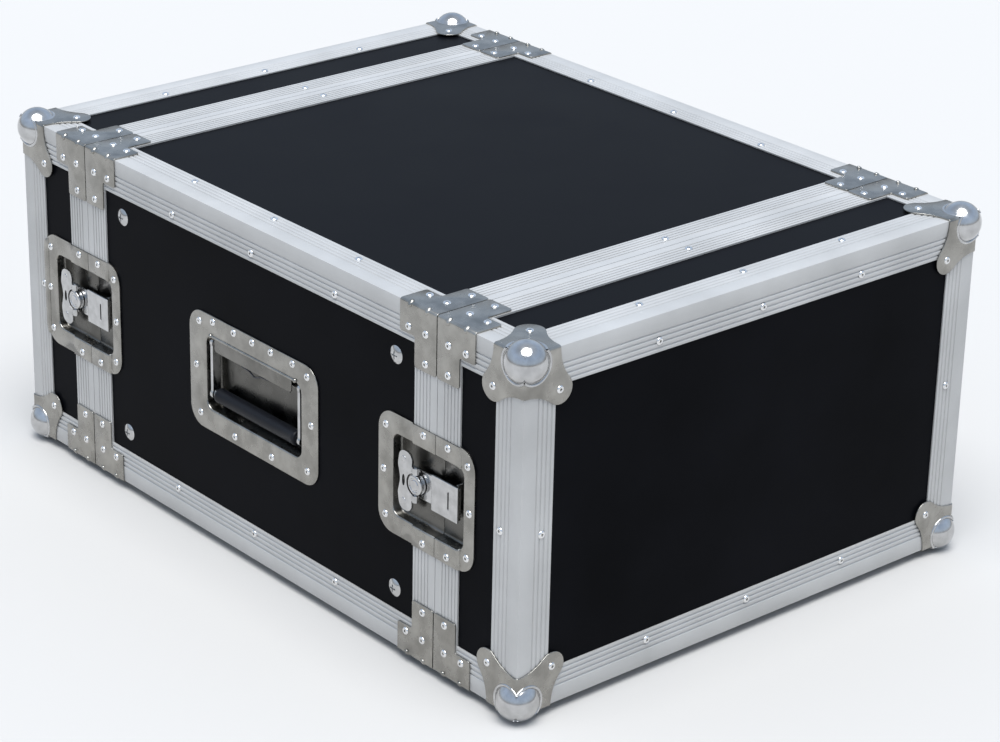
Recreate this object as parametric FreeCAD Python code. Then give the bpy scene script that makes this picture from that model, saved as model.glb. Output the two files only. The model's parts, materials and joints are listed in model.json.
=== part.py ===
"""Equipment rack case: a sleeve body with a pull-off lid at each end.

X runs across the rack, Y runs from the front lid (-Y) to the rear lid (+Y)
and Z is up.  The case stands on its ball corners at Z = 0.  All lengths are
in millimetres.  Hardware is drawn once for the front left corner or side and
mirrored to the others.
"""
import os

import FreeCAD
import Part
from math import cos, radians, sin, sqrt

V = FreeCAD.Vector

# ---------------------------------------------------------------- sizes
# Case over the aluminium edge angles
CASE_W = 520.0
CASE_H = 318.0
BODY_L = 504.0
LID_L = 105.0

# Plywood and aluminium
PLY = 12.0
SKIN = 1.6
EDGE_FLANGE = 33.0
EDGE_ROUND = 1.2
SEAM_STRIP = 29.0
SEAM_GAP = 0.6
RIB_DEPTH = 0.5
RIB_WIDTH = 1.4
RIB_PITCH = 4.2
EDGE_RIBS = 4
SEAM_RIBS = 5

# Tongue on the body frames and groove in the lid frames
TONGUE_T = 3.2
TONGUE_REACH = 5.7
TONGUE_DEPTH = 5.2
GROOVE_PLAY = 0.6
GROOVE_WALL = 1.2
GROOVE_FLOOR = 7.3
INNER_LEG = 15.0
BOARD_PLAY = 0.2

# Rack units and rails
RACK_UNITS = 6
UNIT_H = 44.45
RACK_HOLE_SPAN = 465.1
RACK_OPENING = 450.85
UNIT_HOLE_INSET = 6.35
UNIT_HOLE_STEP = 15.875
RACK_HOLE_R = 2.5
RAIL_T = 2.0
RAIL_LEG = 34.0
RAIL_SETBACK = 38.0
RAIL_BOLT_SPAN = 213.0
RAIL_BOLT_R = 3.0
RAIL_BOLT_HEAD_R = 8.0
RAIL_BOLT_HEAD_H = 2.6
BOLT_CROSS_W = 1.4
BOLT_CROSS_L = 7.0
BOLT_CROSS_DEEP = 1.6
RAIL_NUT_R = 6.0
RAIL_NUT_H = 4.0

# Ball corners
BALL_R = 18.5
BALL_PROUD = 9.0
BALL_SHEET = 1.5
LOBE_AT = 36.0
LOBE_R = 13.0
BALL_SKIRT = 30.0
SCALLOP_R = 20.0
SCALLOP_IN = 4.0
SCALLOP_ALONG = 49.0

# Folded brace corners beside the seams
BRACE_SHEET = 1.5
BRACE_WIDTH = 27.5
BRACE_ALONG_EDGE = 47.0
BRACE_ALONG_SEAM = 55.0
BRACE_SEAM_GAP = 0.6
BRACE_RIVET_IN = 20.5
BRACE_RIVET_OFF = 14.3
BRACE_RIVET_EDGE = 36.0
BRACE_RIVET_SEAM = 46.5
BRACE_TO_LOBE = 1.0

# Rivets
RIVET_HEAD_R = 3.6
RIVET_HEAD_H = 1.3
RIVET_SHANK_R = 1.6
RIVET_SHANK_L = 6.0
EDGE_RIVET_PITCH = 117.0
# Distance of a row of rivets from the free edge of its flange
EDGE_RIVET_IN = 7.5
CROSS_RIVET_IN = 9.5
UPRIGHT_RIVET_IN = 11.0

# Recessed latches, measured from the seam (positive on the post's side)
LATCH_SHEET = 1.5
LATCH_FLANGE_BODY = 18.5
LATCH_FLANGE_LID = 14.0
LATCH_FLANGE_H = 18.0
LATCH_CORNER_R = 18.0
LATCH_DISH_BODY = 57.0
LATCH_DISH_LID = 34.0
LATCH_DISH_HALF_H = 37.0
LATCH_DISH_FLOOR = 9.5
LATCH_CUT_PLAY = 0.5
LATCH_STEP_PLAY = 0.1
PLATE_TRIM = 0.2
# Rivets of a latch plate, measured in from the edges of the plate
LATCH_END_RIVET_IN = 6.7
LATCH_CORNER_RIVET_IN = 9.3
LATCH_CORNER_RIVET_DOWN = 14.0
LATCH_ROW_RIVET_IN = 6.0
LATCH_ROW_RIVET_OFF = 15.5
POST_AT = 27.0
POST_SHANK_R = 4.0
POST_HEAD_R = 9.0
POST_HEAD_LOW = 3.8
POST_HEAD_TOP = -1.5
POST_FOOT_R = 6.5
POST_FOOT_T = 1.4
POST_FOOT_PLAY = 0.2
POST_BACK_ROOM = 0.6
CAM_R = 6.0
CAM_THROW = 1.75
CAM_PLAY = 0.5
CAM_END_PLAY = 0.4
RUN_CLEAR = 0.05
WING_R = 28.0
WING_T = 2.0
WING_TOP = -1.0
WING_HALF_H = 27.0
WING_PIN_R = 1.5
WING_KNUCKLE_R = 2.9
WING_KNUCKLE_L = 6.0
WING_PIN_DEPTH = 0.6
WING_RIVET_AT = 14.0
WING_RIVET_UP = 20.5
WING_RIVET_R = 2.6
WING_RIVET_T = 0.7
WING_NOTCH_R = 10.2
BAR_T = 1.8
BAR_HALF_H = 16.0
BAR_LIP_HALF_H = 14.0
BAR_TAIL_HALF_H = 13.0
BAR_TAIL_END = 39.0
BAR_STEP_AT = 7.0
BAR_ROOM = 0.7
BAR_STEP = 2.8
HOOK_DROP = 2.3
HOOK_LIFT = 2.4
HOOK_PULL = 3.5
HOOK_AT = -22.8
KEEPER_AT = -17.2
KEEPER_T = 1.8
KEEPER_H = 2.9
KEEPER_HALF_H = 15.0
SLOT_AT = -12.0
SLOT_HALF_H = 8.0
SLOT_W = 1.6

# Recessed carrying handles
HANDLE_FLANGE_L = 24.0
HANDLE_FLANGE_H = 21.0
HANDLE_CORNER_R = 18.0
HANDLE_SHEET = 1.5
HANDLE_CUT_PLAY = 0.5
# Rivets of a handle plate: distances along it, and in from its edges
HANDLE_RIVET_NEAR = 27.0
HANDLE_RIVET_FAR = 58.0
HANDLE_TOP_ROW_IN = 5.5
HANDLE_LOW_ROW_IN = 7.3
HANDLE_END_RIVET_IN = 9.5
HANDLE_END_RIVET_UP = 2.0
HANDLE_CORNER_RIVET_IN = 15.0
HANDLE_TOP_CORNER_DOWN = 10.5
HANDLE_LOW_CORNER_UP = 13.0
HANDLE_DISH_HALF_L = 69.5
HANDLE_DISH_LOW = -35.0
HANDLE_DISH_HIGH = 35.0
HANDLE_LIP_BELOW_HINGE = 5.0
ARM_NOTCH = 13.5
HINGE_DOWN = 7.0
HINGE_DEPTH = 6.5
HINGE_R = 2.5
BAIL_LOW_ROOM = 7.0
GRIP_BACK_ROOM = 2.5
BAIL_ARM_T = 3.5
BAIL_ARM_W = 8.0
BAIL_ARM_GAP = 4.0
BAIL_EYE_R = 4.6
BAIL_FOOT_R = 5.2
BAIL_ROD_R = 3.5
GRIP_R = 7.0
GRIP_END_ROOM = 4.0
SPRING_R = 4.3
SPRING_BORE_R = 3.1
SPRING_L = 16.0
SPRING_AT = 30.0
SPRING_WIRE_R = 0.9
SPRING_LEG = 14.0

# ---------------------------------------------------------------- derived
HALF_W = CASE_W / 2.0
SEAM_Y = BODY_L / 2.0
HALF_L = SEAM_Y + LID_L
BOTTOM_Z = BALL_PROUD
TOP_Z = BOTTOM_Z + CASE_H
MID_Z = BOTTOM_Z + CASE_H / 2.0
HALF_H = CASE_H / 2.0
PLY_IN = SKIN + PLY
INNER_SKIN = PLY_IN + SKIN
HALF_GAP = SEAM_GAP / 2.0
RAIL_HALF_H = RACK_UNITS * UNIT_H / 2.0
BALL_IN = BALL_R - BALL_PROUD
LATCH_BODY_REACH = LATCH_DISH_BODY + LATCH_FLANGE_BODY
LATCH_LID_REACH = LATCH_DISH_LID + LATCH_FLANGE_LID
LATCH_HALF_H = LATCH_DISH_HALF_H + LATCH_FLANGE_H
BAR_LOW_DEPTH = LATCH_DISH_FLOOR - BAR_T - BAR_ROOM
BAR_HIGH_DEPTH = BAR_LOW_DEPTH - BAR_STEP
HANDLE_HALF_L = HANDLE_DISH_HALF_L + HANDLE_FLANGE_L
HANDLE_HALF_H = HANDLE_DISH_HIGH + HANDLE_FLANGE_H
HANDLE_DISH_FLOOR = HINGE_DEPTH + GRIP_R + GRIP_BACK_ROOM
HANDLE_LIP_HALF_L = HANDLE_DISH_HALF_L - ARM_NOTCH
HINGE_UP = HANDLE_DISH_HIGH - HINGE_DOWN
HANDLE_LIP_LOW = HINGE_UP - HANDLE_LIP_BELOW_HINGE
BAIL_REACH = HINGE_UP - HANDLE_DISH_LOW - GRIP_R - BAIL_LOW_ROOM
GRIP_HALF_L = HANDLE_DISH_HALF_L - BAIL_ARM_GAP - BAIL_ARM_T - GRIP_END_ROOM
CUT_HALF_H = LATCH_DISH_HALF_H + LATCH_SHEET + LATCH_CUT_PLAY
CUT_BODY = LATCH_DISH_BODY + LATCH_SHEET + LATCH_CUT_PLAY
CUT_LID = LATCH_DISH_LID + LATCH_SHEET + LATCH_CUT_PLAY
DISH_BACK = LATCH_DISH_FLOOR + LATCH_SHEET
POST_BACK = DISH_BACK + POST_FOOT_PLAY + POST_FOOT_T
GROOVE_BACK = GROOVE_FLOOR + GROOVE_WALL
LID_ARM = min(BRACE_ALONG_EDGE, LID_L - LOBE_AT - LOBE_R - BRACE_TO_LOBE)
LID_ARM_RIVET = BRACE_RIVET_EDGE - (BRACE_ALONG_EDGE - LID_ARM)


# ---------------------------------------------------------------- helpers
def box(x0, x1, y0, y1, z0, z1):
    """Block between two corners, given as low and high of each axis."""
    low = V(min(x0, x1), min(y0, y1), min(z0, z1))
    return Part.makeBox(abs(x1 - x0), abs(y1 - y0), abs(z1 - z0), low)


def fuse(shapes):
    """One solid made from touching or overlapping solids."""
    whole = shapes[0].fuse(shapes[1:])
    return whole.removeSplitter()


def flip(shape, axis):
    """Mirror image across the middle plane of the case (x, y) or mid height (z)."""
    if axis == "z":
        return shape.mirror(V(0, 0, MID_Z), V(0, 0, 1))
    normal = V(1, 0, 0) if axis == "x" else V(0, 1, 0)
    return shape.mirror(V(0, 0, 0), normal)


def flips(shape, axes):
    """The shape and all its mirror images across the named planes."""
    group = [shape]
    for axis in axes:
        group = group + [flip(one, axis) for one in group]
    return group


def to_rear(shape):
    """The same piece, not mirrored, carried from the front seam to the rear one."""
    moved = shape.copy()
    moved.translate(V(0, 2.0 * SEAM_Y, 0))
    return moved


def flip_all(shapes, axes):
    """Every shape of a list with all its mirror images."""
    group = []
    for one in shapes:
        group.extend(flips(one, axes))
    return group


def save(node, shapes):
    """Write one node; a list is kept as a group of separate solids."""
    shape = Part.makeCompound(shapes) if isinstance(shapes, list) else shapes
    shape.exportStep(os.path.join("parts", node + ".step"))


def side_x(depth):
    """X of a plane at a depth below the left outer face."""
    return -HALF_W + depth


def front_y(depth):
    """Y of a plane at a depth below the front lid's outer face."""
    return -HALF_L + depth


def seam_y(offset):
    """Y at an offset from the front seam, positive towards the body."""
    return -SEAM_Y + offset


def cylinder_x(radius, depth0, depth1, y, z):
    """Round bar across the left side wall between two depths."""
    return Part.makeCylinder(radius, depth1 - depth0, V(side_x(depth0), y, z), V(1, 0, 0))


def rounded_plate_x(depth0, depth1, y0, y1, z0, z1, radius):
    """Plate on the left side with four rounded corners."""
    plate = box(side_x(depth0), side_x(depth1), y0, y1, z0, z1)
    corners = [e for e in plate.Edges if abs(e.tangentAt(e.FirstParameter).x) > 0.99]
    return plate.makeFillet(radius, corners)


def rivet(base, outward):
    """Domed rivet: head on the surface, shank driven into what is below."""
    sagitta = RIVET_HEAD_H
    sphere_r = (RIVET_HEAD_R ** 2 + sagitta ** 2) / (2.0 * sagitta)
    centre = base - outward * (sphere_r - sagitta)
    dome = Part.makeSphere(sphere_r, centre)
    keep = Part.makeCylinder(RIVET_HEAD_R, sagitta * 2.0, base, outward)
    head = dome.common(keep)
    foot = base - outward * RIVET_SHANK_L
    shank = Part.makeCylinder(RIVET_SHANK_R, RIVET_SHANK_L + 0.5, foot, outward)
    return head.fuse(shank).removeSplitter()


# ---------------------------------------------------------------- profiles
def ribbed_flange(length, first_rib, ribs):
    """Outline of one flange, from the arris outwards, as (along, depth) points."""
    points = [(0.0, 0.0)]
    for index in range(ribs):
        start = first_rib + index * RIB_PITCH
        points.append((start, 0.0))
        points.append((start + RIB_WIDTH * 0.25, RIB_DEPTH))
        points.append((start + RIB_WIDTH * 0.75, RIB_DEPTH))
        points.append((start + RIB_WIDTH, 0.0))
    points.append((length, 0.0))
    points.append((length, SKIN))
    return points


def edge_profile():
    """Closed L outline of an edge angle as (across, down) from its arris."""
    first_rib = EDGE_FLANGE - EDGE_RIBS * RIB_PITCH - 1.0
    flange = ribbed_flange(EDGE_FLANGE, first_rib, EDGE_RIBS)
    across = flange[1:]
    down = [(depth, along) for along, depth in reversed(flange[1:])]
    return across + [(SKIN, SKIN)] + down + [(0.0, EDGE_ROUND), (EDGE_ROUND, 0.0)]


def angle_bar(corner, across, down, run, length):
    """Edge angle laid from a corner point along a run direction."""
    points = [corner + across * a + down * d for a, d in edge_profile()]
    wire = Part.makePolygon(points + [points[0]])
    return Part.Face(wire).extrude(run * length)


def ring(depth0, depth1, y0, y1):
    """Rectangular hoop round the case between two depths and two Y planes."""
    outer = box(-HALF_W + depth0, HALF_W - depth0, y0, y1, BOTTOM_Z + depth0, TOP_Z - depth0)
    inner = box(-HALF_W + depth1, HALF_W - depth1, y0 - 1, y1 + 1, BOTTOM_Z + depth1, TOP_Z - depth1)
    return outer.cut(inner)


def seam_ribs(sign):
    """Fine grooves round the outside of one half of the seam strip."""
    grooves = []
    half = RIB_WIDTH / 2.0
    for index in range(SEAM_RIBS):
        offset = sign * (SEAM_STRIP - 3.0 - index * RIB_PITCH)
        grooves.append(ring(-1.0, RIB_DEPTH, seam_y(offset - half), seam_y(offset + half)))
    return grooves


def latch_notches():
    """Blocks cleared through both side walls of a frame at its latches."""
    back = side_x(POST_BACK + POST_BACK_ROOM)
    block = box(side_x(-1), back, seam_y(-CUT_LID), seam_y(CUT_BODY), MID_Z - CUT_HALF_H, MID_Z + CUT_HALF_H)
    return flips(block, "x")


def tongue_frame():
    """Body frame: outer strip, end wall, inner leg and the tongue."""
    parts = [
        ring(0.0, SKIN, seam_y(HALF_GAP), seam_y(SEAM_STRIP)),
        ring(0.0, INNER_SKIN, seam_y(HALF_GAP), seam_y(HALF_GAP + SKIN)),
        ring(PLY_IN, INNER_SKIN, seam_y(HALF_GAP), seam_y(INNER_LEG)),
        ring(TONGUE_DEPTH, TONGUE_DEPTH + TONGUE_T, seam_y(-TONGUE_REACH), seam_y(HALF_GAP + SKIN)),
    ]
    return fuse(parts).cut(latch_notches() + seam_ribs(1.0))


def groove_frame():
    """Lid frame: outer strip, end wall, inner leg and the groove channel."""
    open0 = TONGUE_DEPTH - GROOVE_PLAY
    open1 = TONGUE_DEPTH + TONGUE_T + GROOVE_PLAY
    parts = [
        ring(0.0, SKIN, seam_y(-SEAM_STRIP), seam_y(-HALF_GAP)),
        ring(0.0, INNER_SKIN, seam_y(-HALF_GAP - SKIN), seam_y(-HALF_GAP)),
        ring(PLY_IN, INNER_SKIN, seam_y(-INNER_LEG), seam_y(-HALF_GAP)),
        ring(open0 - GROOVE_WALL, open1 + GROOVE_WALL, seam_y(-GROOVE_BACK), seam_y(-HALF_GAP)),
    ]
    channel = ring(open0, open1, seam_y(-GROOVE_FLOOR), seam_y(1.0))
    return fuse(parts).cut([channel] + latch_notches() + seam_ribs(-1.0))


# ---------------------------------------------------------------- body boards
def side_panel():
    """Left plywood side cut for the front post, the rear keeper and the handle."""
    end = SEAM_Y - HALF_GAP - SKIN
    board = box(side_x(SKIN), side_x(PLY_IN), -end, end, BOTTOM_Z + SKIN, TOP_Z - SKIN)
    through = side_x(PLY_IN + 1)
    low_z = MID_Z - CUT_HALF_H
    high_z = MID_Z + CUT_HALF_H
    post_cut = box(side_x(0), through, seam_y(-1), seam_y(CUT_BODY), low_z, high_z)
    keeper_cut = to_rear(box(side_x(0), through, seam_y(-CUT_LID), seam_y(1), low_z, high_z))
    grow = HANDLE_SHEET + HANDLE_CUT_PLAY
    half = HANDLE_DISH_HALF_L + grow
    low = MID_Z + HANDLE_DISH_LOW - grow
    high = MID_Z + HANDLE_DISH_HIGH + grow
    handle = box(side_x(0), through, -half, half, low, high)
    bolts = [cylinder_x(RAIL_BOLT_R, 0, PLY_IN + 1, y, z) for y, z in rail_bolt_points()]
    return board.cut([post_cut, keeper_cut, handle] + bolts)


def rail_bolt_points():
    """Y and Z of the four rail bolts through one side."""
    y = SEAM_Y - RAIL_SETBACK - RAIL_LEG / 2.0
    z = RAIL_BOLT_SPAN / 2.0
    return [(sy * y, MID_Z + sz * z) for sy in (-1, 1) for sz in (-1, 1)]


def top_panel():
    """Plywood top, held between the two sides."""
    end = SEAM_Y - HALF_GAP - SKIN
    half = HALF_W - PLY_IN
    return box(-half, half, -end, end, TOP_Z - PLY_IN, TOP_Z - SKIN)


# ---------------------------------------------------------------- rails
def rail():
    """Front left rack rail: drilled face leg and a leg bolted to the side."""
    face_y = seam_y(RAIL_SETBACK)
    wall_x = side_x(PLY_IN)
    low = MID_Z - RAIL_HALF_H
    high = MID_Z + RAIL_HALF_H
    face = box(wall_x, -RACK_OPENING / 2.0, face_y, face_y + RAIL_T, low, high)
    leg = box(wall_x, wall_x + RAIL_T, face_y, face_y + RAIL_LEG, low, high)
    whole = fuse([face, leg])
    holes = []
    for unit in range(RACK_UNITS):
        base = low + unit * UNIT_H + UNIT_HOLE_INSET
        for step in range(3):
            spot = V(-RACK_HOLE_SPAN / 2.0, face_y - 1, base + step * UNIT_HOLE_STEP)
            holes.append(Part.makeCylinder(RACK_HOLE_R, RAIL_T + 2, spot, V(0, 1, 0)))
    for y, z in rail_bolt_points():
        if y < 0:
            holes.append(cylinder_x(RAIL_BOLT_R, PLY_IN - 1, PLY_IN + RAIL_T + 1, y, z))
    return whole.cut(holes)


def rail_bolt(y, z):
    """Truss-head cross-recess bolt through the side and the rail."""
    rim_r = RAIL_BOLT_HEAD_R
    sphere_r = (rim_r ** 2 + RAIL_BOLT_HEAD_H ** 2) / (2.0 * RAIL_BOLT_HEAD_H)
    crown = SKIN - RAIL_BOLT_HEAD_H
    centre = V(side_x(crown + sphere_r), y, z)
    head = Part.makeSphere(sphere_r, centre).common(cylinder_x(rim_r, crown, SKIN, y, z))
    slots = []
    half_w = BOLT_CROSS_W / 2.0
    half_l = BOLT_CROSS_L / 2.0
    for angle in (0, 90):
        deep = side_x(crown + BOLT_CROSS_DEEP)
        slot = box(side_x(-2), deep, y - half_w, y + half_w, z - half_l, z + half_l)
        slot.rotate(V(0, y, z), V(1, 0, 0), angle)
        slots.append(slot)
    shank = cylinder_x(RAIL_BOLT_R - RUN_CLEAR, SKIN - 0.2, PLY_IN + RAIL_T + RAIL_NUT_H + 1.0, y, z)
    return head.fuse(shank).cut(slots)


def rail_nut(y, z):
    """Hexagon nut on the inside of the rail."""
    base = side_x(PLY_IN + RAIL_T)
    points = []
    for corner in range(7):
        angle = radians(60.0 * corner)
        points.append(V(base, y + RAIL_NUT_R * cos(angle), z + RAIL_NUT_R * sin(angle)))
    block = Part.Face(Part.makePolygon(points)).extrude(V(RAIL_NUT_H, 0, 0))
    return block.cut(cylinder_x(RAIL_BOLT_R, PLY_IN, PLY_IN + 20, y, z))


# ---------------------------------------------------------------- braces
def brace(sign):
    """Folded corner at the top left of the front seam, one side of the seam."""
    start = seam_y(sign * BRACE_SEAM_GAP)
    strip_end = seam_y(sign * (BRACE_SEAM_GAP + BRACE_WIDTH))
    edge_end = seam_y(sign * (BRACE_ALONG_EDGE if sign > 0 else LID_ARM))
    out_x = side_x(-BRACE_SHEET)
    out_z = TOP_Z + BRACE_SHEET
    side_leg = box(out_x, side_x(0), start, strip_end, out_z - BRACE_ALONG_SEAM, out_z)
    side_arm = box(out_x, side_x(0), start, edge_end, out_z - BRACE_WIDTH, out_z)
    top_leg = box(out_x, out_x + BRACE_ALONG_SEAM, start, strip_end, TOP_Z, out_z)
    top_arm = box(out_x, out_x + BRACE_WIDTH, start, edge_end, TOP_Z, out_z)
    whole = fuse([side_leg, side_arm, top_leg, top_arm])
    fold = [e for e in whole.Edges if is_fold(e, out_x, out_z)]
    return whole.makeFillet(BRACE_SHEET, fold)


def is_fold(edge, x, z):
    """True for the outer edge of the fold that runs along Y."""
    middle = edge.CenterOfMass
    return abs(middle.x - x) < 0.01 and abs(middle.z - z) < 0.01


def brace_rivets(sign):
    """Six rivets of the front left top brace on one side of the seam."""
    spots = [
        (BRACE_RIVET_IN, BRACE_RIVET_OFF),
        (BRACE_RIVET_IN, BRACE_RIVET_EDGE if sign > 0 else LID_ARM_RIVET),
        (BRACE_RIVET_SEAM, BRACE_RIVET_OFF),
    ]
    group = []
    for inward, offset in spots:
        y = seam_y(sign * offset)
        group.append(rivet(V(side_x(-BRACE_SHEET), y, TOP_Z - inward), V(-1, 0, 0)))
        group.append(rivet(V(side_x(inward), y, TOP_Z + BRACE_SHEET), V(0, 0, 1)))
    return group


# ---------------------------------------------------------------- ball corners
def corner_lobe():
    """Lobed sheet of a ball corner lying in the XY plane, corner at the origin."""
    square = BALL_SKIRT + BALL_SHEET
    skirt = Part.makeBox(square, square, BALL_SHEET, V(-BALL_SHEET, -BALL_SHEET, 0))
    lobe = Part.makeCylinder(LOBE_R, BALL_SHEET, V(LOBE_AT, LOBE_AT, 0))
    reach = LOBE_R / sqrt(2.0)
    a = V(LOBE_AT + reach, LOBE_AT - reach, 0)
    b = V(LOBE_AT - reach, LOBE_AT + reach, 0)
    c = V(BALL_IN - reach, BALL_IN + reach, 0)
    d = V(BALL_IN + reach, BALL_IN - reach, 0)
    web = Part.Face(Part.makePolygon([a, b, c, d, a])).extrude(V(0, 0, BALL_SHEET))
    whole = fuse([skirt, lobe, web])
    scallops = [
        Part.makeCylinder(SCALLOP_R, BALL_SHEET + 2, V(SCALLOP_ALONG, SCALLOP_IN, -1)),
        Part.makeCylinder(SCALLOP_R, BALL_SHEET + 2, V(SCALLOP_IN, SCALLOP_ALONG, -1)),
    ]
    return whole.cut(scallops)


def ball_corner():
    """Pressed ball corner for the front left top corner, as one hollow solid."""
    corner = V(-HALF_W, -HALF_L, TOP_Z)
    flat = corner_lobe()
    on_top = flat.copy()
    on_top.translate(corner)
    on_side = flat.copy()
    on_side.rotate(V(0, 0, 0), V(0, 1, 0), 90)
    on_side.translate(corner - V(BALL_SHEET, 0, 0))
    on_front = flat.copy()
    on_front.rotate(V(0, 0, 0), V(1, 0, 0), -90)
    on_front.translate(corner - V(0, BALL_SHEET, 0))
    centre = corner + V(BALL_IN, BALL_IN, -BALL_IN)
    shell = Part.makeSphere(BALL_R, centre)
    whole = fuse([on_top, on_side, on_front, shell])
    inside = box(corner.x, corner.x + 200, corner.y, corner.y + 200, corner.z - 200, corner.z)
    return whole.cut(inside).cut(Part.makeSphere(BALL_R - BALL_SHEET, centre))


def ball_rivets():
    """One rivet in each lobe of the front left top ball corner."""
    return [
        rivet(V(side_x(-BALL_SHEET), front_y(LOBE_AT), TOP_Z - LOBE_AT), V(-1, 0, 0)),
        rivet(V(side_x(LOBE_AT), front_y(LOBE_AT), TOP_Z + BALL_SHEET), V(0, 0, 1)),
        rivet(V(side_x(LOBE_AT), front_y(-BALL_SHEET), TOP_Z - LOBE_AT), V(0, -1, 0)),
    ]


# ---------------------------------------------------------------- latches
def stepped_plate(y0, y1):
    """Latch plate outline, stepped up where it passes onto the seam strip."""
    low = seam_y(-LATCH_LID_REACH)
    high = seam_y(LATCH_BODY_REACH)
    down = MID_Z - LATCH_HALF_H
    up = MID_Z + LATCH_HALF_H
    outline = rounded_plate_x(-LATCH_SHEET, SKIN, low, high, down, up, LATCH_CORNER_R)
    edge = SEAM_STRIP + LATCH_STEP_PLAY
    over_strip = box(side_x(0), side_x(SKIN), seam_y(-edge), seam_y(edge), 0, TOP_Z)
    raised = side_x(-LATCH_SHEET)
    sunk = side_x(SKIN - LATCH_SHEET)
    over_board = [
        box(raised, sunk, seam_y(edge + LATCH_SHEET), seam_y(200), 0, TOP_Z),
        box(raised, sunk, seam_y(-200), seam_y(-edge - LATCH_SHEET), 0, TOP_Z),
    ]
    plate = outline.cut([over_strip] + over_board)
    return plate.common(box(side_x(-5), side_x(5), y0, y1, 0, TOP_Z))


def dish(y0, y1, open_low, open_high):
    """Pressed recess of a latch; an open end has no wall at the seam."""
    wall = LATCH_SHEET
    outer0 = y0 if open_low else y0 - wall
    outer1 = y1 if open_high else y1 + wall
    half = LATCH_DISH_HALF_H + wall
    outer = box(side_x(-LATCH_SHEET), side_x(DISH_BACK), outer0, outer1, MID_Z - half, MID_Z + half)
    inner = dish_hollow(y0 - (5 if open_low else 0), y1 + (5 if open_high else 0))
    return outer.cut(inner)


def dish_hollow(y0, y1):
    """Space inside a latch recess."""
    half = LATCH_DISH_HALF_H
    return box(side_x(-5), side_x(LATCH_DISH_FLOOR), y0, y1, MID_Z - half, MID_Z + half)


def latch_dish_post():
    """Half of a latch dish with the hole its post turns in."""
    y0 = seam_y(HALF_GAP)
    y1 = seam_y(LATCH_DISH_BODY)
    plate = stepped_plate(y0, seam_y(200))
    cup = dish(y0, y1, True, False).common(cup_limit())
    whole = fuse([plate, cup]).cut(dish_hollow(y0 - 5, y1))
    return whole.cut(cylinder_x(POST_SHANK_R + RUN_CLEAR, 0, 20, seam_y(POST_AT), MID_Z))


def cup_limit():
    """Keeps a cup's walls under the stepped plate."""
    edge = SEAM_STRIP + LATCH_STEP_PLAY + LATCH_SHEET
    return fuse([
        box(side_x(-LATCH_SHEET), side_x(30), seam_y(-edge), seam_y(edge), 0, TOP_Z),
        box(side_x(SKIN - LATCH_SHEET), side_x(30), seam_y(-200), seam_y(200), 0, TOP_Z),
    ])


def latch_dish_keeper():
    """Other half of a latch dish with the upstanding keeper lip."""
    y0 = seam_y(-LATCH_DISH_LID)
    y1 = seam_y(-HALF_GAP)
    plate = stepped_plate(seam_y(-200), y1)
    cup = dish(y0, y1, False, True).common(cup_limit())
    shell = fuse([plate, cup]).cut(dish_hollow(y0, y1 + 5))
    lip_y = seam_y(KEEPER_AT)
    low = MID_Z - KEEPER_HALF_H
    high = MID_Z + KEEPER_HALF_H
    lip = box(side_x(LATCH_DISH_FLOOR - KEEPER_H), side_x(DISH_BACK), lip_y - KEEPER_T, lip_y, low, high)
    return fuse([shell, lip])


def latch_post():
    """Turning post: foot, shank, eccentric cam, head and the wing's pin."""
    y = seam_y(POST_AT)
    foot = cylinder_x(POST_FOOT_R, DISH_BACK + POST_FOOT_PLAY, POST_BACK, y, MID_Z)
    shank = cylinder_x(POST_SHANK_R, POST_HEAD_LOW, POST_BACK, y, MID_Z)
    cam = cylinder_x(CAM_R, POST_HEAD_LOW, LATCH_DISH_FLOOR - CAM_END_PLAY, y - CAM_THROW, MID_Z)
    head = cylinder_x(POST_HEAD_R, POST_HEAD_TOP, POST_HEAD_LOW, y, MID_Z)
    return fuse([foot, shank, cam, head, wing_pin()])


def wing_pin():
    """Cross pin through the post's head that carries the wing."""
    half = POST_HEAD_R + WING_KNUCKLE_L + 1.2
    base = V(side_x(WING_PIN_DEPTH), seam_y(POST_AT), MID_Z - half)
    return Part.makeCylinder(WING_PIN_R, 2.0 * half, base, V(0, 0, 1))


def latch_wing():
    """Half-round wing folded flat towards the body, with its two knuckles."""
    y = seam_y(POST_AT)
    disc = cylinder_x(WING_R, WING_TOP, WING_TOP + WING_T, y, MID_Z)
    keep = box(side_x(-5), side_x(5), y + WING_KNUCKLE_R, y + 60, MID_Z - WING_HALF_H, MID_Z + WING_HALF_H)
    notch = cylinder_x(WING_NOTCH_R, -5, 5, y, MID_Z)
    parts = [disc.common(keep).cut(notch)]
    start = POST_HEAD_R + 0.5
    for sign in (-1, 1):
        base = V(side_x(WING_PIN_DEPTH), y, MID_Z + sign * start)
        barrel = Part.makeCylinder(WING_KNUCKLE_R, WING_KNUCKLE_L, base, V(0, 0, sign))
        z0 = MID_Z + sign * start
        z1 = MID_Z + sign * (start + WING_KNUCKLE_L)
        strap = box(side_x(WING_TOP), side_x(WING_TOP + WING_T), y, y + WING_KNUCKLE_R + 0.5, z0, z1)
        parts.extend([barrel, strap])
        spot = V(side_x(WING_TOP), y + WING_RIVET_AT, MID_Z + sign * WING_RIVET_UP)
        parts.append(Part.makeCylinder(WING_RIVET_R, WING_RIVET_T, spot, V(-1, 0, 0)))
    below = V(side_x(WING_PIN_DEPTH), y, MID_Z - 40)
    bore = Part.makeCylinder(WING_PIN_R + RUN_CLEAR, 80, below, V(0, 0, 1))
    return fuse(parts).cut([bore, notch_for_head(y)])


def notch_for_head(y):
    """Clears the wing and its knuckles from the post's head."""
    return cylinder_x(POST_HEAD_R + 0.4, -6, 6, y, MID_Z)


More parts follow.
